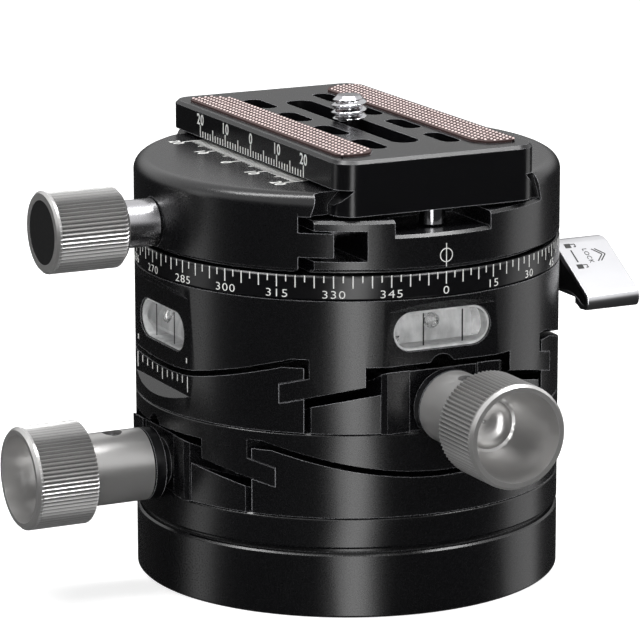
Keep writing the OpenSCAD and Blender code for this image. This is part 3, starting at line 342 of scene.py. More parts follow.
def smoothTree():
    # Joins the loose triangles and shades them smooth up to an angle
    tree, start = newGeometryTree("smoothByAngle", {"Geometry": "Geometry", "Angle": "Float"})
    weld = {"Geometry": start["Geometry"], "Distance": solidEdges["weldGap"]}
    merged = addNode(tree, "GeometryNodeMergeByDistance", weld).outputs[0]
    angle = addNode(tree, "GeometryNodeInputMeshEdgeAngle").outputs[0]
    soft = addNode(tree, "FunctionNodeCompare", {"operation": "LESS_THAN", 0: angle, 1: start["Angle"]})
    faces = addNode(tree, "GeometryNodeSetShadeSmooth", {"domain": "FACE", "Geometry": merged}).outputs[0]
    shade = {"domain": "EDGE", "Geometry": faces, "Shade Smooth": soft.outputs[0]}
    edges = addNode(tree, "GeometryNodeSetShadeSmooth", shade).outputs[0]
    addNode(tree, "NodeGroupOutput", {0: edges})
    return tree


smoothGroup = smoothTree()


def smoothEdges(piece, degrees):
    addTree(piece, smoothGroup, {"Angle": math.radians(degrees)})


def bevelEdges(piece, width):
    modifier = piece.modifiers.new("edgeBevel", "BEVEL")
    modifier.width = width
    modifier.segments = solidEdges["bevelSteps"]
    modifier.limit_method = "ANGLE"
    modifier.angle_limit = math.radians(solidEdges["bevelAngle"])
    modifier.miter_outer = "MITER_ARC"


for node in nodes.values():
    smoothEdges(node, solidEdges["smoothAngle"])
for width, names in solidEdges["bevels"]:
    for name in names:
        bevelEdges(nodes[name], width)
for node in nodes.values():
    # Flat faces keep their own direction, so that bevels and fillets catch a narrow line of light
    modifier = node.modifiers.new("flatFaces", "WEIGHTED_NORMAL")
    modifier.keep_sharp = True
print("solids dressed:", len(nodes))


def meshPiece(name, bm, finish, body, place=None):
    # Turns a bmesh into a finished piece that rides on a body
    if place is not None:
        bmesh.ops.transform(bm, matrix=place, verts=bm.verts)
    bmesh.ops.recalc_face_normals(bm, faces=bm.faces)
    mesh = bpy.data.meshes.new(name)
    bm.to_mesh(mesh)
    bm.free()
    piece = bpy.data.objects.new(name, mesh)
    bpy.context.scene.collection.objects.link(piece)
    give(piece, finish)
    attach(piece, body)
    return piece


def smoothFaces(piece):
    for polygon in piece.data.polygons:
        polygon.use_smooth = True


def plainMesh(name, data, tree=None, values=None):
    # The plain mesh that a text or a node tree makes
    holder = bpy.data.objects.new(name, data)
    bpy.context.scene.collection.objects.link(holder)
    if tree is not None:
        addTree(holder, tree, values)
    bpy.context.view_layer.update()
    done = holder.evaluated_get(bpy.context.evaluated_depsgraph_get())
    mesh = bpy.data.meshes.new_from_object(done)
    bpy.data.objects.remove(holder)
    return mesh


def treeMesh(name, tree, values, finish):
    return plainMesh(name, bpy.data.meshes.new(name), tree, {**values, "Finish": materials[finish]})


def addMesh(bm, mesh, change):
    # Adds a mesh to a bmesh with every point moved by a function
    before = len(bm.verts)
    bm.from_mesh(mesh)
    bm.verts.ensure_lookup_table()
    for vert in bm.verts[before:]:
        vert.co = change(vert.co)


def ringLoop(bm, centre, radii, height):
    # A closed loop of points round a centre, each with its own radius
    loop = []
    for k, radius in enumerate(radii):
        angle = 2 * math.pi * k / len(radii)
        x = centre[0] + radius * math.cos(angle)
        y = centre[1] + radius * math.sin(angle)
        loop.append(bm.verts.new((x, y, height)))
    return loop


def joinLoops(bm, low, high):
    # Faces between two closed loops with as many points
    for k in range(len(low)):
        n = (k + 1) % len(low)
        bm.faces.new((low[k], low[n], high[n], high[k]))


def flatRing(bm, centre, radius, line, depth, steps=40):
    # A flat band round a centre in the xy plane
    inside = radius - line / 2
    outside = radius + line / 2
    corners = ((inside, -depth), (inside, depth), (outside, depth), (outside, -depth))
    loops = [ringLoop(bm, centre, [reach] * steps, height) for reach, height in corners]
    for k in range(len(loops)):
        joinLoops(bm, loops[k - 1], loops[k])


def flatBar(bm, start, end, line, depth):
    # A thin straight bar between two points of the xy plane
    a, b = Vector(start), Vector(end)
    along = (b - a).normalized()
    across = Vector((-along.y, along.x)) * line / 2
    corners = [a - across, b - across, b + across, a + across]
    low = [bm.verts.new((c.x, c.y, -depth)) for c in corners]
    high = [bm.verts.new((c.x, c.y, depth)) for c in corners]
    bm.faces.new(high)
    bm.faces.new(low[::-1])
    joinLoops(bm, low, high)


# Figures and words stand on y = 0, centred on x = 0
lettering = {"depth": 0.02 * mm, "curveSteps": 3, "spacing": 1.12}


def textMesh(words, size, bold=0.0):
    curve = bpy.data.curves.new("words", "FONT")
    curve.body = words
    curve.size = size
    curve.align_x = "CENTER"
    curve.extrude = lettering["depth"]
    curve.offset = bold
    curve.resolution_u = lettering["curveSteps"]
    curve.space_character = lettering["spacing"]
    return plainMesh("words", curve)


def rulerTree():
    # A row of upright bars on the x axis: every so many are long, some are middling, the others short
    tree, start = newGeometryTree(
        "rulerMarks",
        {
            "Count": "Int", "First": "Int", "Pitch": "Float", "Long Every": "Int", "Middle Every": "Int",
            "Long": "Float", "Middle": "Float", "Short": "Float", "Line": "Float", "Depth": "Float",
            "Up": "Float", "Finish": "Material",
        },
    )
    index = addNode(tree, "GeometryNodeInputIndex").outputs[0]
    number = addNode(tree, "ShaderNodeMath", {"operation": "ADD", 0: index, 1: start["First"]}).outputs[0]
    across = {"operation": "MULTIPLY", 0: number, 1: start["Pitch"]}
    place = addNode(tree, "ShaderNodeMath", across).outputs[0]
    steps = addNode(tree, "ShaderNodeMath", {"operation": "ABSOLUTE", 0: number}).outputs[0]
    length = start["Short"]
    # The counts are whole, so a remainder below the margin of 0.2 is none
    for every, other in (("Middle Every", "Middle"), ("Long Every", "Long")):
        left = addNode(tree, "ShaderNodeMath", {"operation": "MODULO", 0: steps, 1: start[every]}).outputs[0]
        chosen = addNode(tree, "ShaderNodeMath", {"operation": "COMPARE", 0: left, 1: 0.0, 2: 0.2}).outputs[0]
        choice = {"input_type": "FLOAT", 0: chosen, 1: length, 2: start[other]}
        length = addNode(tree, "GeometryNodeSwitch", choice).outputs[0]
    reach = addNode(tree, "ShaderNodeMath", {"operation": "MULTIPLY", 0: length, 1: start["Up"]}).outputs[0]
    middle = addNode(tree, "ShaderNodeMath", {"operation": "MULTIPLY", 0: reach, 1: 0.5}).outputs[0]
    spot = addNode(tree, "ShaderNodeCombineXYZ", {0: place, 1: middle}).outputs[0]
    points = addNode(tree, "GeometryNodePoints", {"Count": start["Count"], "Position": spot}).outputs[0]
    size = addNode(tree, "ShaderNodeCombineXYZ", {0: start["Line"], 1: 1.0, 2: start["Depth"]}).outputs[0]
    bar = addNode(tree, "GeometryNodeMeshCube", {"Size": size}).outputs[0]
    scale = addNode(tree, "ShaderNodeCombineXYZ", {0: 1.0, 1: length, 2: 1.0}).outputs[0]
    row = addNode(tree, "GeometryNodeInstanceOnPoints", {"Points": points, "Instance": bar, "Scale": scale})
    real = addNode(tree, "GeometryNodeRealizeInstances", {"Geometry": row.outputs[0]}).outputs[0]
    done = addNode(tree, "GeometryNodeSetMaterial", {"Geometry": real, "Material": start["Finish"]})
    addNode(tree, "NodeGroupOutput", {0: done.outputs[0]})
    return tree


rulerGroup = rulerTree()


def aroundBody(point):
    # Wraps a drawing round the body: x becomes arc length from the front, y height, z lift
    turn = point.x / bodyRadius
    reach = bodyRadius + point.z
    return Vector((reach * math.sin(turn), -reach * math.cos(turn), point.y))


# Scale ring: a tick every 2.5 degrees, each second one long, and a number every 15
panScale = {
    "pitch": 2.5, "longEvery": 2, "long": 2.1 * mm, "short": 1.15 * mm, "line": 0.2 * mm, "top": 59.85 * mm,
    "numberStep": 15, "numberLow": 56.0 * mm, "numberSize": 1.95 * mm, "wide": 1.32, "bold": -0.015 * mm,
}


def buildPanScale(spec):
    ticks = {
        "Count": round(360 / spec["pitch"]), "First": 0, "Pitch": bodyRadius * math.radians(spec["pitch"]),
        "Long Every": spec["longEvery"], "Middle Every": 1, "Long": spec["long"], "Middle": spec["short"],
        "Short": spec["short"], "Line": spec["line"], "Depth": 2 * markLift, "Up": -1.0,
    }
    bm = bmesh.new()
    mesh = treeMesh("panTicks", rulerGroup, ticks, "whiteFill")
    addMesh(bm, mesh, lambda p: aroundBody(Vector((p.x, p.y + spec["top"], p.z))))
    wide, low = spec["wide"], spec["numberLow"]
    for angle in range(0, 360, spec["numberStep"]):
        words = textMesh(str(angle), spec["numberSize"], spec["bold"])
        shift = bodyRadius * math.radians(angle)
        addMesh(bm, words, lambda p: aroundBody(Vector((p.x * wide + shift, p.y + low, p.z))))
    meshPiece("panScaleMarks", bm, "whiteFill", "top_cradle")


buildPanScale(panScale)

# Index on the clamp: a ring crossed by a line
indexMark = {
    "middle": 62.7 * mm, "radius": 1.15 * mm, "line": 0.16 * mm, "low": 60.7 * mm, "high": 64.75 * mm,
}


def buildIndex(spec):
    bm = bmesh.new()
    flatRing(bm, (0, spec["middle"]), spec["radius"], spec["line"], markLift)
    flatBar(bm, (0, spec["low"]), (0, spec["high"]), spec["line"], markLift)
    for vert in bm.verts:
        vert.co = aroundBody(vert.co)
    meshPiece("clampIndexMark", bm, "whiteFill", "clamp")


buildIndex(indexMark)

# Tilt scale on the left flat, under the arc of the rail, with a pair of pointers over it
tiltScale = {
    "flat": -35.85 * mm, "marksEachSide": 5, "longEvery": 5, "pitch": 2.1 * mm, "line": 0.26 * mm,
    "arcAxis": 119.05 * mm, "arcRadius": 79.95 * mm, "arcGap": 0.25 * mm,
    "longLow": 36.8 * mm, "short": 1.25 * mm,
    "pointerY": 10.2 * mm, "pointerLow": 41.85 * mm, "pointerHigh": 42.75 * mm, "pointerLine": 0.36 * mm,
}


def buildTiltScale(spec):
    def markPiece(name, bars, line, body):
        bm = bmesh.new()
        for across, low, high in bars:
            flatBar(bm, (across, low), (across, high), line, markLift)
        for vert in bm.verts:
            x, y, z = vert.co
            vert.co = Vector((spec["flat"] - z, -x, y))
        meshPiece(name, bm, "whiteFill", body)

    marks = []
    for k in range(-spec["marksEachSide"], spec["marksEachSide"] + 1):
        across = k * spec["pitch"]
        high = spec["arcAxis"] - math.sqrt(spec["arcRadius"] ** 2 - across**2) - spec["arcGap"]
        low = spec["longLow"] if k % spec["longEvery"] == 0 else high - spec["short"]
        marks.append((across, low, high))
    pointers = [(side * spec["pointerY"], spec["pointerLow"], spec["pointerHigh"]) for side in (-1, 1)]
    markPiece("tiltScaleMarks", marks, spec["line"], "middle")
    markPiece("tiltPointerMarks", pointers, spec["pointerLine"], "top_cradle")


buildTiltScale(tiltScale)

# Plate scale on the plate's left side, and the same scale on top of the jaw
plateScale = {
    "face": -18.2 * mm, "low": 74.45 * mm, "centre": 1.0 * mm, "pitch": 1.046 * mm, "line": 0.34 * mm,
    "long": 2.1 * mm, "middle": 2.0 * mm, "short": 1.15 * mm,
    "numberSize": 2.7 * mm, "numberGap": 0.15 * mm, "bold": 0.05 * mm,
}
jawScale = {
    "edge": -17.2 * mm, "centre": 1.4 * mm, "pitch": 1.04 * mm, "line": 0.34 * mm,
    "long": 4.4 * mm, "middle": 3.7 * mm, "short": 2.9 * mm,
    "numberSize": 2.9 * mm, "numberRise": 0.72, "bold": 0.05 * mm,
}
slideTicks = {"eachSide": 20, "numberEvery": 10, "middleEvery": 5}


def buildSlideScale(name, spec, up, numberLow, onFace, body):
    # Ticks with numbers, drawn along x and laid on a face; up is the side that they point to
    ticks = {
        "Count": 2 * slideTicks["eachSide"] + 1, "First": -slideTicks["eachSide"], "Pitch": spec["pitch"],
        "Long Every": slideTicks["numberEvery"], "Middle Every": slideTicks["middleEvery"],
        "Long": spec["long"], "Middle": spec["middle"], "Short": spec["short"],
        "Line": spec["line"], "Depth": 2 * markLift, "Up": up,
    }
    bm = bmesh.new()
    addMesh(bm, treeMesh("slideTicks", rulerGroup, ticks, "whiteFill"), onFace)
    for number in range(-slideTicks["eachSide"], slideTicks["eachSide"] + 1, slideTicks["numberEvery"]):
        words = textMesh(str(abs(number)), spec["numberSize"], spec["bold"])
        shift = number * spec["pitch"]
        addMesh(bm, words, lambda p: onFace(Vector((p.x + shift, p.y + numberLow, p.z))))
    meshPiece(name, bm, "whiteFill", body)


def onPlateSide(point):
    return Vector((plateScale["face"] - point.z, plateScale["centre"] - point.x, plateScale["low"] + point.y))


def onJawTop(point):
    return Vector((jawScale["edge"] + point.y, jawScale["centre"] - point.x, clampTop + point.z))


plateNumbers = plateScale["long"] + plateScale["numberGap"]
jawNumbers = -jawScale["long"] - jawScale["numberSize"] * jawScale["numberRise"]
buildSlideScale("plateScaleMarks", plateScale, 1.0, plateNumbers, onPlateSide, "camera_plate")
buildSlideScale("jawScaleMarks", jawScale, -1.0, jawNumbers, onJawTop, "jaw")
print("scales engraved")

# Print on the lever: two padlocks joined by a line, a word and a double arrow. Its x runs outwards from the
# inner edge of the cover, and its y down the cover's straight top.
leverPrint = {
    "topStart": (0, -6.75 * mm, 53.29 * mm), "topEnd": (0, -15.83 * mm, 47.81 * mm), "innerEdge": 39.5 * mm,
    "lift": 0.01 * mm, "depth": 0.02 * mm, "line": 0.22 * mm,
    "lockLows": (-2.0 * mm, 3.5 * mm), "lockX": 2.2 * mm, "lockHeight": 1.2 * mm, "lockWidth": 1.1 * mm,
    "shackle": ((2.8 * mm, 0.2 * mm), (3.7 * mm, 0.2 * mm), (3.7 * mm, 0.9 * mm), (3.3 * mm, 0.9 * mm)),
    "shackleLine": 0.176 * mm, "joinX": 2.3 * mm, "joinLow": -0.3 * mm, "joinHigh": 2.9 * mm,
    "joinLine": 0.264 * mm, "arrowTips": (7.9 * mm, 8.55 * mm), "arrowBack": 1.5 * mm, "arrowHalf": 1.6 * mm,
    "middleY": 1.5 * mm, "wordX": 4.6 * mm, "wordSize": 1.35 * mm,
}


def padlock(bm, spec, low):
    # A thick bar with an open shackle
    x = spec["lockX"]
    flatBar(bm, (x, low), (x, low + spec["lockWidth"]), spec["lockHeight"], spec["depth"])
    bends = [(x, low + y) for x, y in spec["shackle"]]
    for start, end in zip(bends, bends[1:]):
        flatBar(bm, start, end, spec["shackleLine"], spec["depth"])


def arrowHead(bm, spec, tip):
    middle = spec["middleY"]
    for side in (-1, 1):
        foot = (tip - spec["arrowBack"], middle + side * spec["arrowHalf"])
        flatBar(bm, foot, (tip, middle), spec["line"], spec["depth"])


def buildLeverPrint(spec):
    corner = Vector(spec["topStart"]) + Vector((spec["innerEdge"], 0, 0))
    along = (Vector(spec["topEnd"]) - Vector(spec["topStart"])).normalized()
    normal = along.cross(Vector((1, 0, 0)))
    bm = bmesh.new()
    for low in spec["lockLows"]:
        padlock(bm, spec, low)
    join = spec["joinX"]
    flatBar(bm, (join, spec["joinLow"]), (join, spec["joinHigh"]), spec["joinLine"], spec["depth"])
    for tip in spec["arrowTips"]:
        arrowHead(bm, spec, tip)
    words = textMesh("LOCK", spec["wordSize"])
    addMesh(bm, words, lambda p: Vector((spec["wordX"] + p.y, spec["middleY"] + p.x, p.z)))
    for vert in bm.verts:
        x, y, z = vert.co
        vert.co = corner + Vector((x, 0, 0)) + along * y + normal * (z + spec["lift"])
    meshPiece("leverPrint", bm, "blackInk", "lock_lever")


buildLeverPrint(leverPrint)

# Raised dots of the two grip strips: a square grid of slanted oval domes, left out at the strip's cut corners
stripDots = {
    "centre": (0.8 * mm, 0.8 * mm), "inner": 9.5 * mm, "outer": 17.2 * mm, "half": 30.75 * mm,
    "top": 79.7 * mm, "innerCut": 3.2 * mm, "outerCut": 1.6 * mm, "step": 1.2 * mm, "slant": 56,
    "dotLong": 0.60 * mm, "dotWide": 0.30 * mm, "dotHigh": 0.33 * mm,
}


def dotTree():
    tree, start = newGeometryTree(
        "gripDots",
        {
            "Width": "Float", "Length": "Float", "Step": "Float", "Columns": "Int", "Rows": "Int",
            "Inner Cut": "Float", "Outer Cut": "Float", "Dot Long": "Float", "Dot Wide": "Float",
            "Dot High": "Float", "Slant": "Float", "Finish": "Material",
        },
    )
    values = {socket.name: socket for socket in start}
    values["index"] = addNode(tree, "GeometryNodeInputIndex").outputs[0]
    # Each sum, with its own name first: where a dot stands, and whether a cut corner takes it away
    for name, operation, first, second in (
        ("total", "MULTIPLY", "Columns", "Rows"),
        ("cell", "DIVIDE", "index", "Rows"),
        ("column", "FLOOR", "cell", 0.0),
        ("before", "MULTIPLY", "column", "Rows"),
        ("row", "SUBTRACT", "index", "before"),
        ("columnMiddle", "ADD", "column", 0.5),
        ("across", "MULTIPLY", "columnMiddle", "Step"),
        ("rowMiddle", "ADD", "row", 0.5),
        ("along", "MULTIPLY", "rowMiddle", "Step"),
        ("toEnd", "SUBTRACT", "Length", "along"),
        ("endGap", "MINIMUM", "along", "toEnd"),
        ("innerCorner", "ADD", "across", "endGap"),
        ("toOuter", "SUBTRACT", "Width", "across"),
        ("outerCorner", "ADD", "toOuter", "endGap"),
        ("pastInner", "LESS_THAN", "innerCorner", "Inner Cut"),
        ("pastOuter", "LESS_THAN", "outerCorner", "Outer Cut"),
        ("outside", "ADD", "pastInner", "pastOuter"),
    ):
        terms = {"operation": operation, 0: values.get(first, first), 1: values.get(second, second)}
        values[name] = addNode(tree, "ShaderNodeMath", terms).outputs[0]
    spot = addNode(tree, "ShaderNodeCombineXYZ", {0: values["across"], 1: values["along"]}).outputs[0]
    points = addNode(tree, "GeometryNodePoints", {"Count": values["total"], "Position": spot}).outputs[0]
    cut = {"domain": "POINT", "Geometry": points, "Selection": values["outside"]}
    kept = addNode(tree, "GeometryNodeDeleteGeometry", cut).outputs[0]
    dome = addNode(tree, "GeometryNodeMeshIcoSphere", {"Radius": 1.0, "Subdivisions": 2}).outputs[0]
    sides = {0: start["Dot Long"], 1: start["Dot Wide"], 2: start["Dot High"]}
    size = addNode(tree, "ShaderNodeCombineXYZ", sides).outputs[0]
    turn = addNode(tree, "ShaderNodeCombineXYZ", {2: start["Slant"]}).outputs[0]
    spread = {"Points": kept, "Instance": dome, "Scale": size, "Rotation": turn}
    field = addNode(tree, "GeometryNodeInstanceOnPoints", spread).outputs[0]
    real = addNode(tree, "GeometryNodeRealizeInstances", {"Geometry": field}).outputs[0]
    done = addNode(tree, "GeometryNodeSetMaterial", {"Geometry": real, "Material": start["Finish"]})
    addNode(tree, "NodeGroupOutput", {0: done.outputs[0]})
    return tree


dotGroup = dotTree()


def buildStripDots(spec):
    width = spec["outer"] - spec["inner"]
    length = 2 * spec["half"]
    columns = int(width / spec["step"])
    slack = (width - columns * spec["step"]) / 2
    for side, name in ((-1, "leftStripDots"), (1, "rightStripDots")):
        grid = {
            "Width": width, "Length": length, "Step": spec["step"], "Columns": columns,
            "Rows": int(length / spec["step"]), "Inner Cut": spec["innerCut"], "Outer Cut": spec["outerCut"],
            "Dot Long": spec["dotLong"], "Dot Wide": spec["dotWide"], "Dot High": spec["dotHigh"],
            "Slant": side * math.radians(spec["slant"]),
        }
        x, y = spec["centre"]
        corner = Vector((x + side * (spec["inner"] + slack), y - spec["half"], spec["top"]))
        bm = bmesh.new()
        mesh = treeMesh("gripDots", dotGroup, grid, "pinkRubber")
        addMesh(bm, mesh, lambda p: corner + Vector((side * p.x, p.y, p.z)))
        smoothFaces(meshPiece(name, bm, "pinkRubber", "camera_plate"))


buildStripDots(stripDots)
print("strips done")

# Camera screw: a quarter-inch thread with twenty turns to the inch, on a neck and a round head in the plate
cameraScrew = {
    "centre": (0.8 * mm, 0.8 * mm), "steps": 72, "rowHeight": 0.07 * mm, "smoothAngle": 38.0,
    "radius": 3.175 * mm, "root": 2.5 * mm, "pitch": 1.27 * mm, "rootFlat": 0.12, "flank": 0.8,
    "low": 79.7 * mm, "top": 83.95 * mm, "topRadius": 2.05 * mm, "runOut": 2.2,
    "neck": 2.2 * mm, "neckTop": 79.65 * mm,
    "head": 4.3 * mm, "headLow": 70.9 * mm, "headTop": 73.8 * mm,
    "lowChamfer": 0.3 * mm, "topChamfer": 0.2 * mm,
}


def threadRadius(z, angle, spec):
    # How far out the thread stands there: less at the chamfered top, and where it runs out at the bottom
    phase = ((z - spec["low"]) / spec["pitch"] - angle / (2 * math.pi)) % 1.0
    height = 1 - abs(2 * phase - 1)
    out = min(1.0, max(0.0, (height - spec["rootFlat"]) / spec["flank"]))
    thread = spec["root"] + (spec["radius"] - spec["root"]) * out
    chamfer = spec["topRadius"] + spec["top"] - z
    runOut = spec["root"] + (z - spec["low"]) * spec["runOut"]
    return min(thread, chamfer, runOut)


def buildCameraScrew(spec):
    steps = spec["steps"]
    bm = bmesh.new()
    loops = []
    for radius, z in (
        (spec["head"] - spec["lowChamfer"], spec["headLow"]),
        (spec["head"], spec["headLow"] + spec["lowChamfer"]),
        (spec["head"], spec["headTop"] - spec["topChamfer"]),
        (spec["head"] - spec["topChamfer"], spec["headTop"]),
        (spec["neck"], spec["headTop"]),
        (spec["neck"], spec["neckTop"]),
    ):
        loops.append(ringLoop(bm, spec["centre"], [radius] * steps, z))
    height = spec["top"] - spec["low"]
    rows = int(height / spec["rowHeight"])
    for k in range(rows + 1):
        z = spec["low"] + height * k / rows
        radii = [threadRadius(z, 2 * math.pi * s / steps, spec) for s in range(steps)]
        loops.append(ringLoop(bm, spec["centre"], radii, z))
    for lower, upper in zip(loops, loops[1:]):
        joinLoops(bm, lower, upper)
    bm.faces.new(loops[0][::-1])
    bm.faces.new(loops[-1])
    piece = meshPiece("cameraScrewThreaded", bm, "chromePlate", "screw")
    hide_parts("camera_screw")
    smoothEdges(piece, spec["smoothAngle"])


buildCameraScrew(cameraScrew)
print("camera screw cut")

# Level vials: a pale tray, a clear tube with two black lines, and a bubble. Each is drawn with its window in
# the xy plane, facing +z, and then set in its place.
vials = {
    "length": 18.4 * mm, "height": 6.8 * mm, "roundSteps": 16,
    "trayGap": 0.04 * mm, "rim": 0.66 * mm,
    "trayBack": -5.9 * mm, "trayFloor": -5.2 * mm, "trayFront": -0.35 * mm,
    "tubeRadius": 2.6 * mm, "tubeLength": 15.6 * mm, "tubeZ": -3.3 * mm, "tubeSides": 32, "smoothAngle": 50.0,
    "lines": (-3.35 * mm, 4.1 * mm), "lineLow": -2.7 * mm, "lineHigh": 2.9 * mm, "line": 0.24 * mm,
    "lineDepth": 0.04 * mm, "lineZ": -0.5 * mm,
    "bubbleRadius": 1.35 * mm, "bubbleShape": (1.15, 0.95, 0.8), "bubbleSteps": (24, 16),
    "bubbleAt": (-1.1 * mm, 1.05 * mm, -2.25 * mm),
}
# Where each window's middle is, its turn from the front, and the clear solid that its tray stands for
vialPlaces = {
    "frontVial": {"middle": (0, -36.15 * mm, 49.7 * mm), "turn": 0, "node": "front_level"},
    "leftVial": {"middle": (-35.85 * mm, 0, 46.6 * mm), "turn": -90, "node": "left_level"},
}


def windowLoop(bm, spec, shrink, z):
    # Outline of the window, with round ends, smaller by shrink and at a depth
    length = spec["length"] - shrink
    height = spec["height"] - shrink
    steps = spec["roundSteps"]
    loop = []
    for side in (1, -1):
        for k in range(steps + 1):
            angle = math.radians(-90 * side + 180 * k / steps)
            x = side * (length - height) / 2 + height / 2 * math.cos(angle)
            loop.append(bm.verts.new((x, height / 2 * math.sin(angle), z)))
    return loop


def buildTray(name, spec, place, node):
    bm = bmesh.new()
    outer = spec["trayGap"]
    inner = spec["trayGap"] + spec["rim"]
    loops = [
        windowLoop(bm, spec, outer, spec["trayBack"]),
        windowLoop(bm, spec, outer, spec["trayFront"]),
        windowLoop(bm, spec, inner, spec["trayFront"]),
        windowLoop(bm, spec, inner, spec["trayFloor"]),
    ]
    for low, high in zip(loops, loops[1:]):
        joinLoops(bm, low, high)
    bm.faces.new(loops[0][::-1])
    bm.faces.new(loops[-1])
    tray = meshPiece(name + "Tray", bm, "paleTray", "top_cradle", place)
    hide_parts(node)


def buildTube(name, spec, place):
    bm = bmesh.new()
    lie = Matrix.Translation((0, 0, spec["tubeZ"])) @ Matrix.Rotation(math.radians(90), 4, "Y")
    bmesh.ops.create_cone(
        bm, cap_ends=True, segments=spec["tubeSides"], radius1=spec["tubeRadius"], radius2=spec["tubeRadius"],
        depth=spec["tubeLength"], matrix=lie,
    )
    tube = meshPiece(name + "Tube", bm, "clearAcrylic", "top_cradle", place)
    smoothEdges(tube, spec["smoothAngle"])


def buildVialLines(name, spec, place):
    bm = bmesh.new()
    for x in spec["lines"]:
        flatBar(bm, (x, spec["lineLow"]), (x, spec["lineHigh"]), spec["line"], spec["lineDepth"])
    bmesh.ops.translate(bm, vec=(0, 0, spec["lineZ"]), verts=bm.verts)
    meshPiece(name + "Lines", bm, "blackInk", "top_cradle", place)


def buildBubble(name, spec, place):
    bm = bmesh.new()
    around, along = spec["bubbleSteps"]
    bmesh.ops.create_uvsphere(bm, u_segments=around, v_segments=along, radius=spec["bubbleRadius"])
    bmesh.ops.scale(bm, vec=spec["bubbleShape"], verts=bm.verts)
    bmesh.ops.translate(bm, vec=spec["bubbleAt"], verts=bm.verts)
    smoothFaces(meshPiece(name + "Bubble", bm, "airBubble", "top_cradle", place))


for name, spot in vialPlaces.items():
    turn = Matrix.Rotation(math.radians(spot["turn"]), 4, "Z") @ Matrix.Rotation(math.radians(90), 4, "X")
    place = Matrix.Translation(spot["middle"]) @ turn
    buildTray(name, vials, place, spot["node"])
    buildTube(name, vials, place)
    buildVialLines(name, vials, place)
    buildBubble(name, vials, place)
print("vials filled")

# Camera: found from the ticks of the scale ring, then kept
camera = {
    "azimuth": -26.6115, "elevation": 13.1714, "lookAt": (0.0, 0.0, 43.5 * mm), "distance": 733.137 * mm,
    "lens": 232.106, "sensor": 36.0, "shiftX": -0.04178, "clipStart": 0.01,
}


def cameraAxes():
    # Level directions from the object to the camera, and to the camera's right
    azimuth = math.radians(camera["azimuth"])
    back = Vector((math.sin(azimuth), -math.cos(azimuth), 0))
    right = Vector((math.cos(azimuth), math.sin(azimuth), 0))
    return back, right


def buildCamera(spec):
    back = cameraAxes()[0]
    elevation = math.radians(spec["elevation"])
    away = back * math.cos(elevation) + Vector((0, 0, math.sin(elevation)))
    data = bpy.data.cameras.new("photoCamera")
    data.lens = spec["lens"]
    data.sensor_width = spec["sensor"]
    data.shift_x = spec["shiftX"]
    data.clip_start = spec["clipStart"]
    holder = bpy.data.objects.new("photoCamera", data)
    bpy.context.scene.collection.objects.link(holder)
    holder.location = Vector(spec["lookAt"]) + away * spec["distance"]
    holder.rotation_euler = (-away).to_track_quat("-Z", "Y").to_euler()
    bpy.context.scene.camera = holder


# Lamps: one wide bar over the object, and upright strips round it. These are centred on the floor's level, so
# that the object's sides mirror them down to the foot, and each turn is to the right of the camera.
lamps = {
    "front": {"turn": 4.0, "reach": 1.10, "width": 0.30, "height": 1.2, "radiance": 6.0},
    "left": {"turn": -85.0, "reach": 0.90, "width": 0.24, "height": 1.0, "radiance": 1.3},
    "right": {"turn": 110.0, "reach": 0.90, "width": 0.46, "height": 1.0, "radiance": 1.25},
}
topLamp = {"up": 0.9, "forward": 0.06, "right": 0.05, "width": 1.6, "depth": 0.18, "radiance": 18.0}


def addLamp(name, where, width, height, radiance):
    light = bpy.data.lights.new(name, "AREA")
    light.shape = "RECTANGLE"
    light.size = width
    light.size_y = height
    light.energy = radiance * math.pi * width * height  # the watts that give this radiance
    lamp = bpy.data.objects.new(name, light)
    bpy.context.scene.collection.objects.link(lamp)
    lamp.location = where
    lamp.visible_camera = False
    return lamp


def buildLamps():
    back, right = cameraAxes()
    for name, spec in lamps.items():
        angle = math.radians(spec["turn"])
        where = (back * math.cos(angle) + right * math.sin(angle)) * spec["reach"]
        lamp = addLamp(name, where, spec["width"], spec["height"], spec["radiance"])
        lamp.rotation_euler = (-where).to_track_quat("-Z", "Y").to_euler()
    over = back * topLamp["forward"] + right * topLamp["right"] + Vector((0, 0, topLamp["up"]))
    where = Vector(camera["lookAt"]) + over
    lamp = addLamp("top", where, topLamp["width"], topLamp["depth"], topLamp["radiance"])
    lamp.rotation_euler = (0, 0, math.radians(camera["azimuth"]))


def backgroundRays(tree):
    # One for camera, glossy and transmitted rays, so that metal and glass show the white background too
    path = addNode(tree, "ShaderNodeLightPath").outputs
    seen = path["Is Camera Ray"]
    for ray in ("Is Glossy Ray", "Is Transmission Ray"):
        seen = addNode(tree, "ShaderNodeMath", {"operation": "MAXIMUM", 0: seen, 1: path[ray]}).outputs[0]
    return seen


# Floor: pale paper that keeps the shadow, lifted to white by a glow that only background rays see
floorPaper = {"colour": "#c9c9c9", "size": 6.0, "drop": 0.02 * mm, "glow": 0.72}


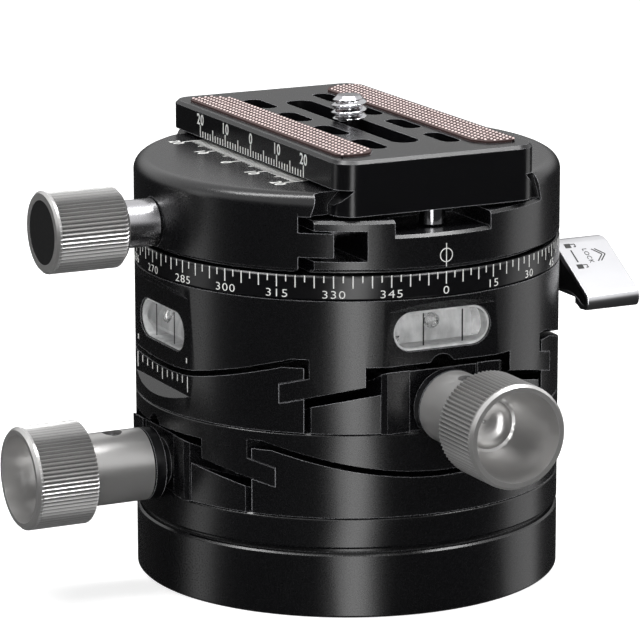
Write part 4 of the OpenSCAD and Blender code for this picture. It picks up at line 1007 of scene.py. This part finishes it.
def buildFloor(spec):
    half = spec["size"] / 2
    corners = ((-half, -half), (half, -half), (half, half), (-half, half))
    bm = bmesh.new()
    bm.faces.new([bm.verts.new((x, y, -spec["drop"])) for x, y in corners])
    mesh = bpy.data.meshes.new("studioFloor")
    bm.to_mesh(mesh)
    bm.free()
    floor = bpy.data.objects.new("studioFloor", mesh)
    bpy.context.scene.collection.objects.link(floor)
    material, tree = newMaterial("floorPaper")
    matt = addNode(tree, "ShaderNodeBsdfDiffuse", {"Color": linear(spec["colour"])}).outputs[0]
    share = {"operation": "MULTIPLY", 0: backgroundRays(tree), 1: spec["glow"]}
    strength = addNode(tree, "ShaderNodeMath", share).outputs[0]
    glow = addNode(tree, "ShaderNodeEmission", {"Strength": strength}).outputs[0]
    both = addNode(tree, "ShaderNodeAddShader", {0: matt, 1: glow}).outputs[0]
    addNode(tree, "ShaderNodeOutputMaterial", {"Surface": both})
    mesh.materials.append(material)
    # Mirror rays pass through the paper, so that black metal doesn't reflect a white floor
    floor.visible_glossy = False


# World: white to the camera. To mirror and clear rays it is dark below the horizon and white from a height
# up. It lights the object at its own, lower strength.
skyLight = {"strength": 0.30, "below": 0.03, "horizon": 0.0, "whiteFrom": 24.0}


def buildWorld(spec):
    world = bpy.data.worlds.new("studioWorld")
    bpy.context.scene.world = world
    world.use_nodes = True
    tree = world.node_tree
    tree.nodes.clear()
    direction = addNode(tree, "ShaderNodeTexCoord").outputs["Generated"]
    low, high = (math.sin(math.radians(spec[angle])) for angle in ("horizon", "whiteFrom"))
    rise = {
        "interpolation_type": "SMOOTHSTEP",
        "Value": addNode(tree, "ShaderNodeSeparateXYZ", {0: direction}).outputs[2],
        "From Min": low, "From Max": high, "To Min": spec["below"], "To Max": 1.0,
    }
    above = addNode(tree, "ShaderNodeMapRange", rise).outputs[0]
    direct = addNode(tree, "ShaderNodeLightPath").outputs["Is Camera Ray"]
    shown = addNode(tree, "ShaderNodeMath", {"operation": "MAXIMUM", 0: above, 1: direct}).outputs[0]
    choice = {"Value": backgroundRays(tree), "To Min": spec["strength"], "To Max": shown}
    strength = addNode(tree, "ShaderNodeMapRange", choice).outputs[0]
    sky = addNode(tree, "ShaderNodeBackground", {"Color": (1, 1, 1, 1), "Strength": strength}).outputs[0]
    addNode(tree, "ShaderNodeOutputWorld", {"Surface": sky})


buildCamera(camera)
buildLamps()
buildFloor(floorPaper)
buildWorld(skyLight)
bpy.context.scene.view_settings.view_transform = "Standard"
print("studio lit")
